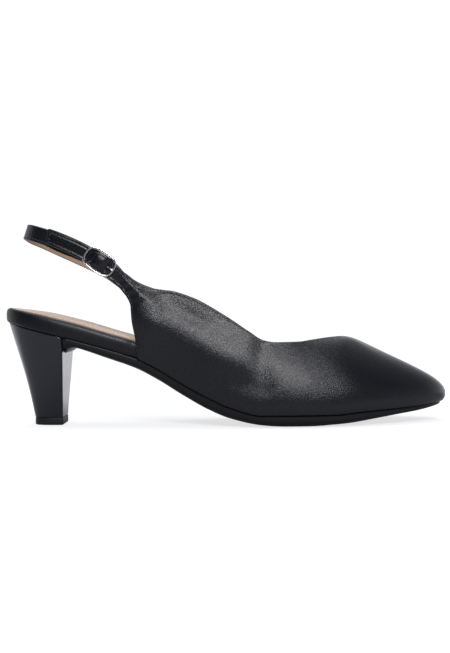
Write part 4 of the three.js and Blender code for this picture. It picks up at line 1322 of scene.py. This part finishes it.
def even_sections(sections, count=96):
    """Sections brought to the same number of points, evenly spaced round each."""
    out = []
    for section in sections:
        ring = np.vstack([section, section[:1]])
        arc = lengths(ring)
        out.append(resample(ring, arc, np.linspace(0, arc[-1], count, endpoint=False)))
    return out


class PUMP_OT_heel(bpy.types.Operator):
    """Add the heel and its top piece"""

    bl_idname = "pump.heel"
    bl_label = "Add Heel"

    def execute(self, context):
        """Build the lacquered block, then the wearing piece under it."""
        back_at = column(HEEL_LEVELS, "back", "down")
        square_at = column(HEEL_LEVELS, "square", "down")
        foot = TOP_PIECE_THICKNESS + 0.08
        stations = [(down, 0) for down in np.linspace(0.03, 0.97, 26)]
        stations = [(0, 0.35), (0.004, 0.1), (0.01, 0), *stations, (0.99, 0), (0.996, 0.08), (1, 0.3)]
        sections = []
        for down, inset in stations:
            front = to_x(BREAST_ALONG + (BREAST_FOOT_ALONG - BREAST_ALONG) * down) - inset
            half = HALF_SEAT - HEEL_SEAT_SETBACK
            half += (HEEL_TIP_WIDTH / 2 - half) * down - inset
            back = to_x(float(back_at(down))) + inset
            level = heel_outline(back, front, half, float(square_at(down)))
            seat = bottom_z(level[:, 0]) - CLEARANCE
            sections.append(np.column_stack([level, seat + (foot - seat) * down]))
        mesh = loft_mesh(even_sections(sections))
        add_piece("heel_block", *mesh, ["heel lacquer"], "heel", replaces=["heel"])
        back = to_x(HEEL_LEVELS[-1]["back"])
        front = to_x(BREAST_FOOT_ALONG) + TOP_PIECE_PROUD / 2
        levels = []
        for z, inset in ((4, 0.15), (3.93, 0.03), (3.8, 0), (0.6, 0), (0.3, 0.1), (0.1, 0.3), (0, 0.55)):
            level = heel_outline(back + inset, front - inset, HEEL_TIP_WIDTH / 2 - inset, 1)
            levels.append(np.column_stack([level, np.full(len(level), z)]))
        mesh = loft_mesh(even_sections(levels))
        add_piece("heel_top_piece", *mesh, ["rubber"], "top_piece", replaces=["top_piece"])
        return {"FINISHED"}


# The stage. The photo's view: from where, and how large a millimetre is
CAMERA_DISTANCE = 0.7
CAMERA_AIM = (0, 0, 0.05)
CAMERA_ELEVATION = 1.6
CAMERA_AZIMUTH = 0.78
CAMERA_ROLL = -0.59
PICTURE_HEIGHT = 653
METRES_PER_PIXEL = 0.0005611
PICTURE_DOWN = 6.3
PICTURE_RIGHT = 1.6
SENSOR_WIDTH = 36


def pale_floor(scene):
    """The floor, which is white to the camera and glows a little behind the shoe."""
    mesh = bpy.data.meshes.new("floor")
    corners = [(-0.65, -0.65, 0), (0.65, -0.65, 0), (0.65, 0.35, 0), (-0.65, 0.35, 0)]
    mesh.from_pydata(corners, [], [(0, 1, 2, 3)])
    floor = bpy.data.objects.new("floor", mesh)
    scene.collection.objects.link(floor)
    material, tree = new_material("pale floor")
    rear = ramp(tree, place_at(tree)[1]["Y"], 0.03, 0.15, most=0.42)
    seen = add_node(tree, "LightPath").outputs["Is Camera Ray"]
    inputs = {
        "Base Color": (0.39, 0.395, 0.42, 1),
        "Roughness": 0.9,
        "Specular IOR Level": 0.1,
        "Emission Color": (1, 1, 1, 1),
        "Emission Strength": math_node(tree, "MAXIMUM", math_node(tree, "MULTIPLY", seen, 0.71), rear),
    }
    mesh.materials.append(set_surface(material, inputs))


def studio_world(scene):
    """Surroundings that are bright behind the shoe, dim in front, and white to the camera."""
    world = bpy.data.worlds.new("studio")
    world.use_nodes = True
    scene.world = world
    tree = world.node_tree
    _, parts = place_at(tree, "Generated")
    behind = ramp(tree, parts["Y"], -0.1, 0.5)
    low = ramp(tree, parts["Z"], 0.95, 0.0, way="SMOOTHSTEP")
    wall = math_node(tree, "MULTIPLY", math_node(tree, "MULTIPLY", behind, low), 0.8)
    toe_low = math_node(tree, "MULTIPLY", ramp(tree, parts["X"], 0.4, 0.9, most=0.24), low)
    lit = math_node(tree, "ADD", wall, math_node(tree, "ADD", toe_low, 0.05))
    seen = add_node(tree, "LightPath").outputs["Is Camera Ray"]
    strength = math_node(tree, "MULTIPLY", math_node(tree, "MAXIMUM", lit, seen), 1.1)
    background = tree.nodes["Background"].inputs
    background["Color"].default_value = (0.94, 0.95, 1, 1)
    feed(tree, strength, background["Strength"])


def area_light(name, place, aim, width, height, power):
    """A soft rectangular light that looks at a point."""
    data = bpy.data.lights.new(name, "AREA")
    data.shape = "RECTANGLE"
    data.size = width
    data.size_y = height
    data.energy = power
    data.color = (0.965, 0.965, 1)
    light = bpy.data.objects.new(name, data)
    light.location = place
    light.rotation_euler = (Vector(aim) - Vector(place)).to_track_quat("-Z", "Y").to_euler()
    bpy.context.scene.collection.objects.link(light)


def photo_camera(scene):
    """The camera at the photo's angle to the shoe."""
    data = bpy.data.cameras.new("photo")
    camera = bpy.data.objects.new("photo", data)
    scene.collection.objects.link(camera)
    e, a, r = (math.radians(v) for v in (CAMERA_ELEVATION, CAMERA_AZIMUTH, CAMERA_ROLL))
    back = Vector((math.sin(a) * math.cos(e), -math.cos(a) * math.cos(e), math.sin(e)))
    level = Vector((0, 0, 1)).cross(back).normalized()
    rise = back.cross(level)
    right = level * math.cos(r) + rise * math.sin(r)
    up = rise * math.cos(r) - level * math.sin(r)
    turn = Matrix((right, up, back)).transposed().to_4x4()
    camera.matrix_world = Matrix.Translation(Vector(CAMERA_AIM) + back * CAMERA_DISTANCE) @ turn
    data.sensor_width = SENSOR_WIDTH
    data.lens = SENSOR_WIDTH * CAMERA_DISTANCE / METRES_PER_PIXEL / PICTURE_HEIGHT
    data.shift_y = PICTURE_DOWN / PICTURE_HEIGHT
    data.shift_x = -PICTURE_RIGHT / PICTURE_HEIGHT
    data.clip_start = 0.01
    data.clip_end = 50
    scene.camera = camera


class PUMP_OT_stage(bpy.types.Operator):
    """Add the pale floor, the soft lights and the camera"""

    bl_idname = "pump.stage"
    bl_label = "Add Stage"

    def execute(self, context):
        """Build the floor, world, lights and camera."""
        context.scene.view_settings.view_transform = "Standard"
        pale_floor(context.scene)
        studio_world(context.scene)
        area_light("front", (0.08, -0.8, 0.63), (0.08, 0, 0.63), 0.58, 0.37, 8.9)
        area_light("top", (-0.05, 0.35, 1.1), (-0.05, 0.35, 0), 1.1, 1.2, 10)
        photo_camera(context.scene)
        return {"FINISHED"}


OPERATORS = (
    PUMP_OT_stage,
    PUMP_OT_upper,
    PUMP_OT_sling_strap,
    PUMP_OT_buckle,
    PUMP_OT_insole,
    PUMP_OT_sock,
    PUMP_OT_outsole,
    PUMP_OT_heel,
)


class PUMP_PT_panel(bpy.types.Panel):
    """The pump's pieces, sizes and colours"""

    bl_idname = "PUMP_PT_panel"
    bl_label = "Slingback Pump"
    bl_space_type = "VIEW_3D"
    bl_region_type = "UI"
    bl_category = "Pump"

    def draw(self, context):
        """List the settings and the operators."""
        layout = self.layout
        for settings in (context.scene.pump_sizes, context.scene.pump_colours):
            box = layout.box()
            for key in settings.__annotations__:
                box.prop(settings, key)
        for operator in OPERATORS:
            layout.operator(operator.bl_idname)


CLASSES = (PumpSizes, PumpColours, *OPERATORS, PUMP_PT_panel)


def register():
    """Register the classes and the settings."""
    for cls in CLASSES:
        bpy.utils.register_class(cls)
    bpy.types.Scene.pump_sizes = bpy.props.PointerProperty(type=PumpSizes)
    bpy.types.Scene.pump_colours = bpy.props.PointerProperty(type=PumpColours)


def unregister():
    """Take the settings and the classes away again."""
    del bpy.types.Scene.pump_colours
    del bpy.types.Scene.pump_sizes
    for cls in reversed(CLASSES):
        bpy.utils.unregister_class(cls)


def main():
    """Build the stage and every piece."""
    register()
    bpy.ops.pump.stage()
    bpy.ops.pump.upper()
    bpy.ops.pump.sling_strap()
    bpy.ops.pump.buckle()
    bpy.ops.pump.insole()
    bpy.ops.pump.sock()
    bpy.ops.pump.outsole()
    bpy.ops.pump.heel()


if __name__ == "__main__":
    main()
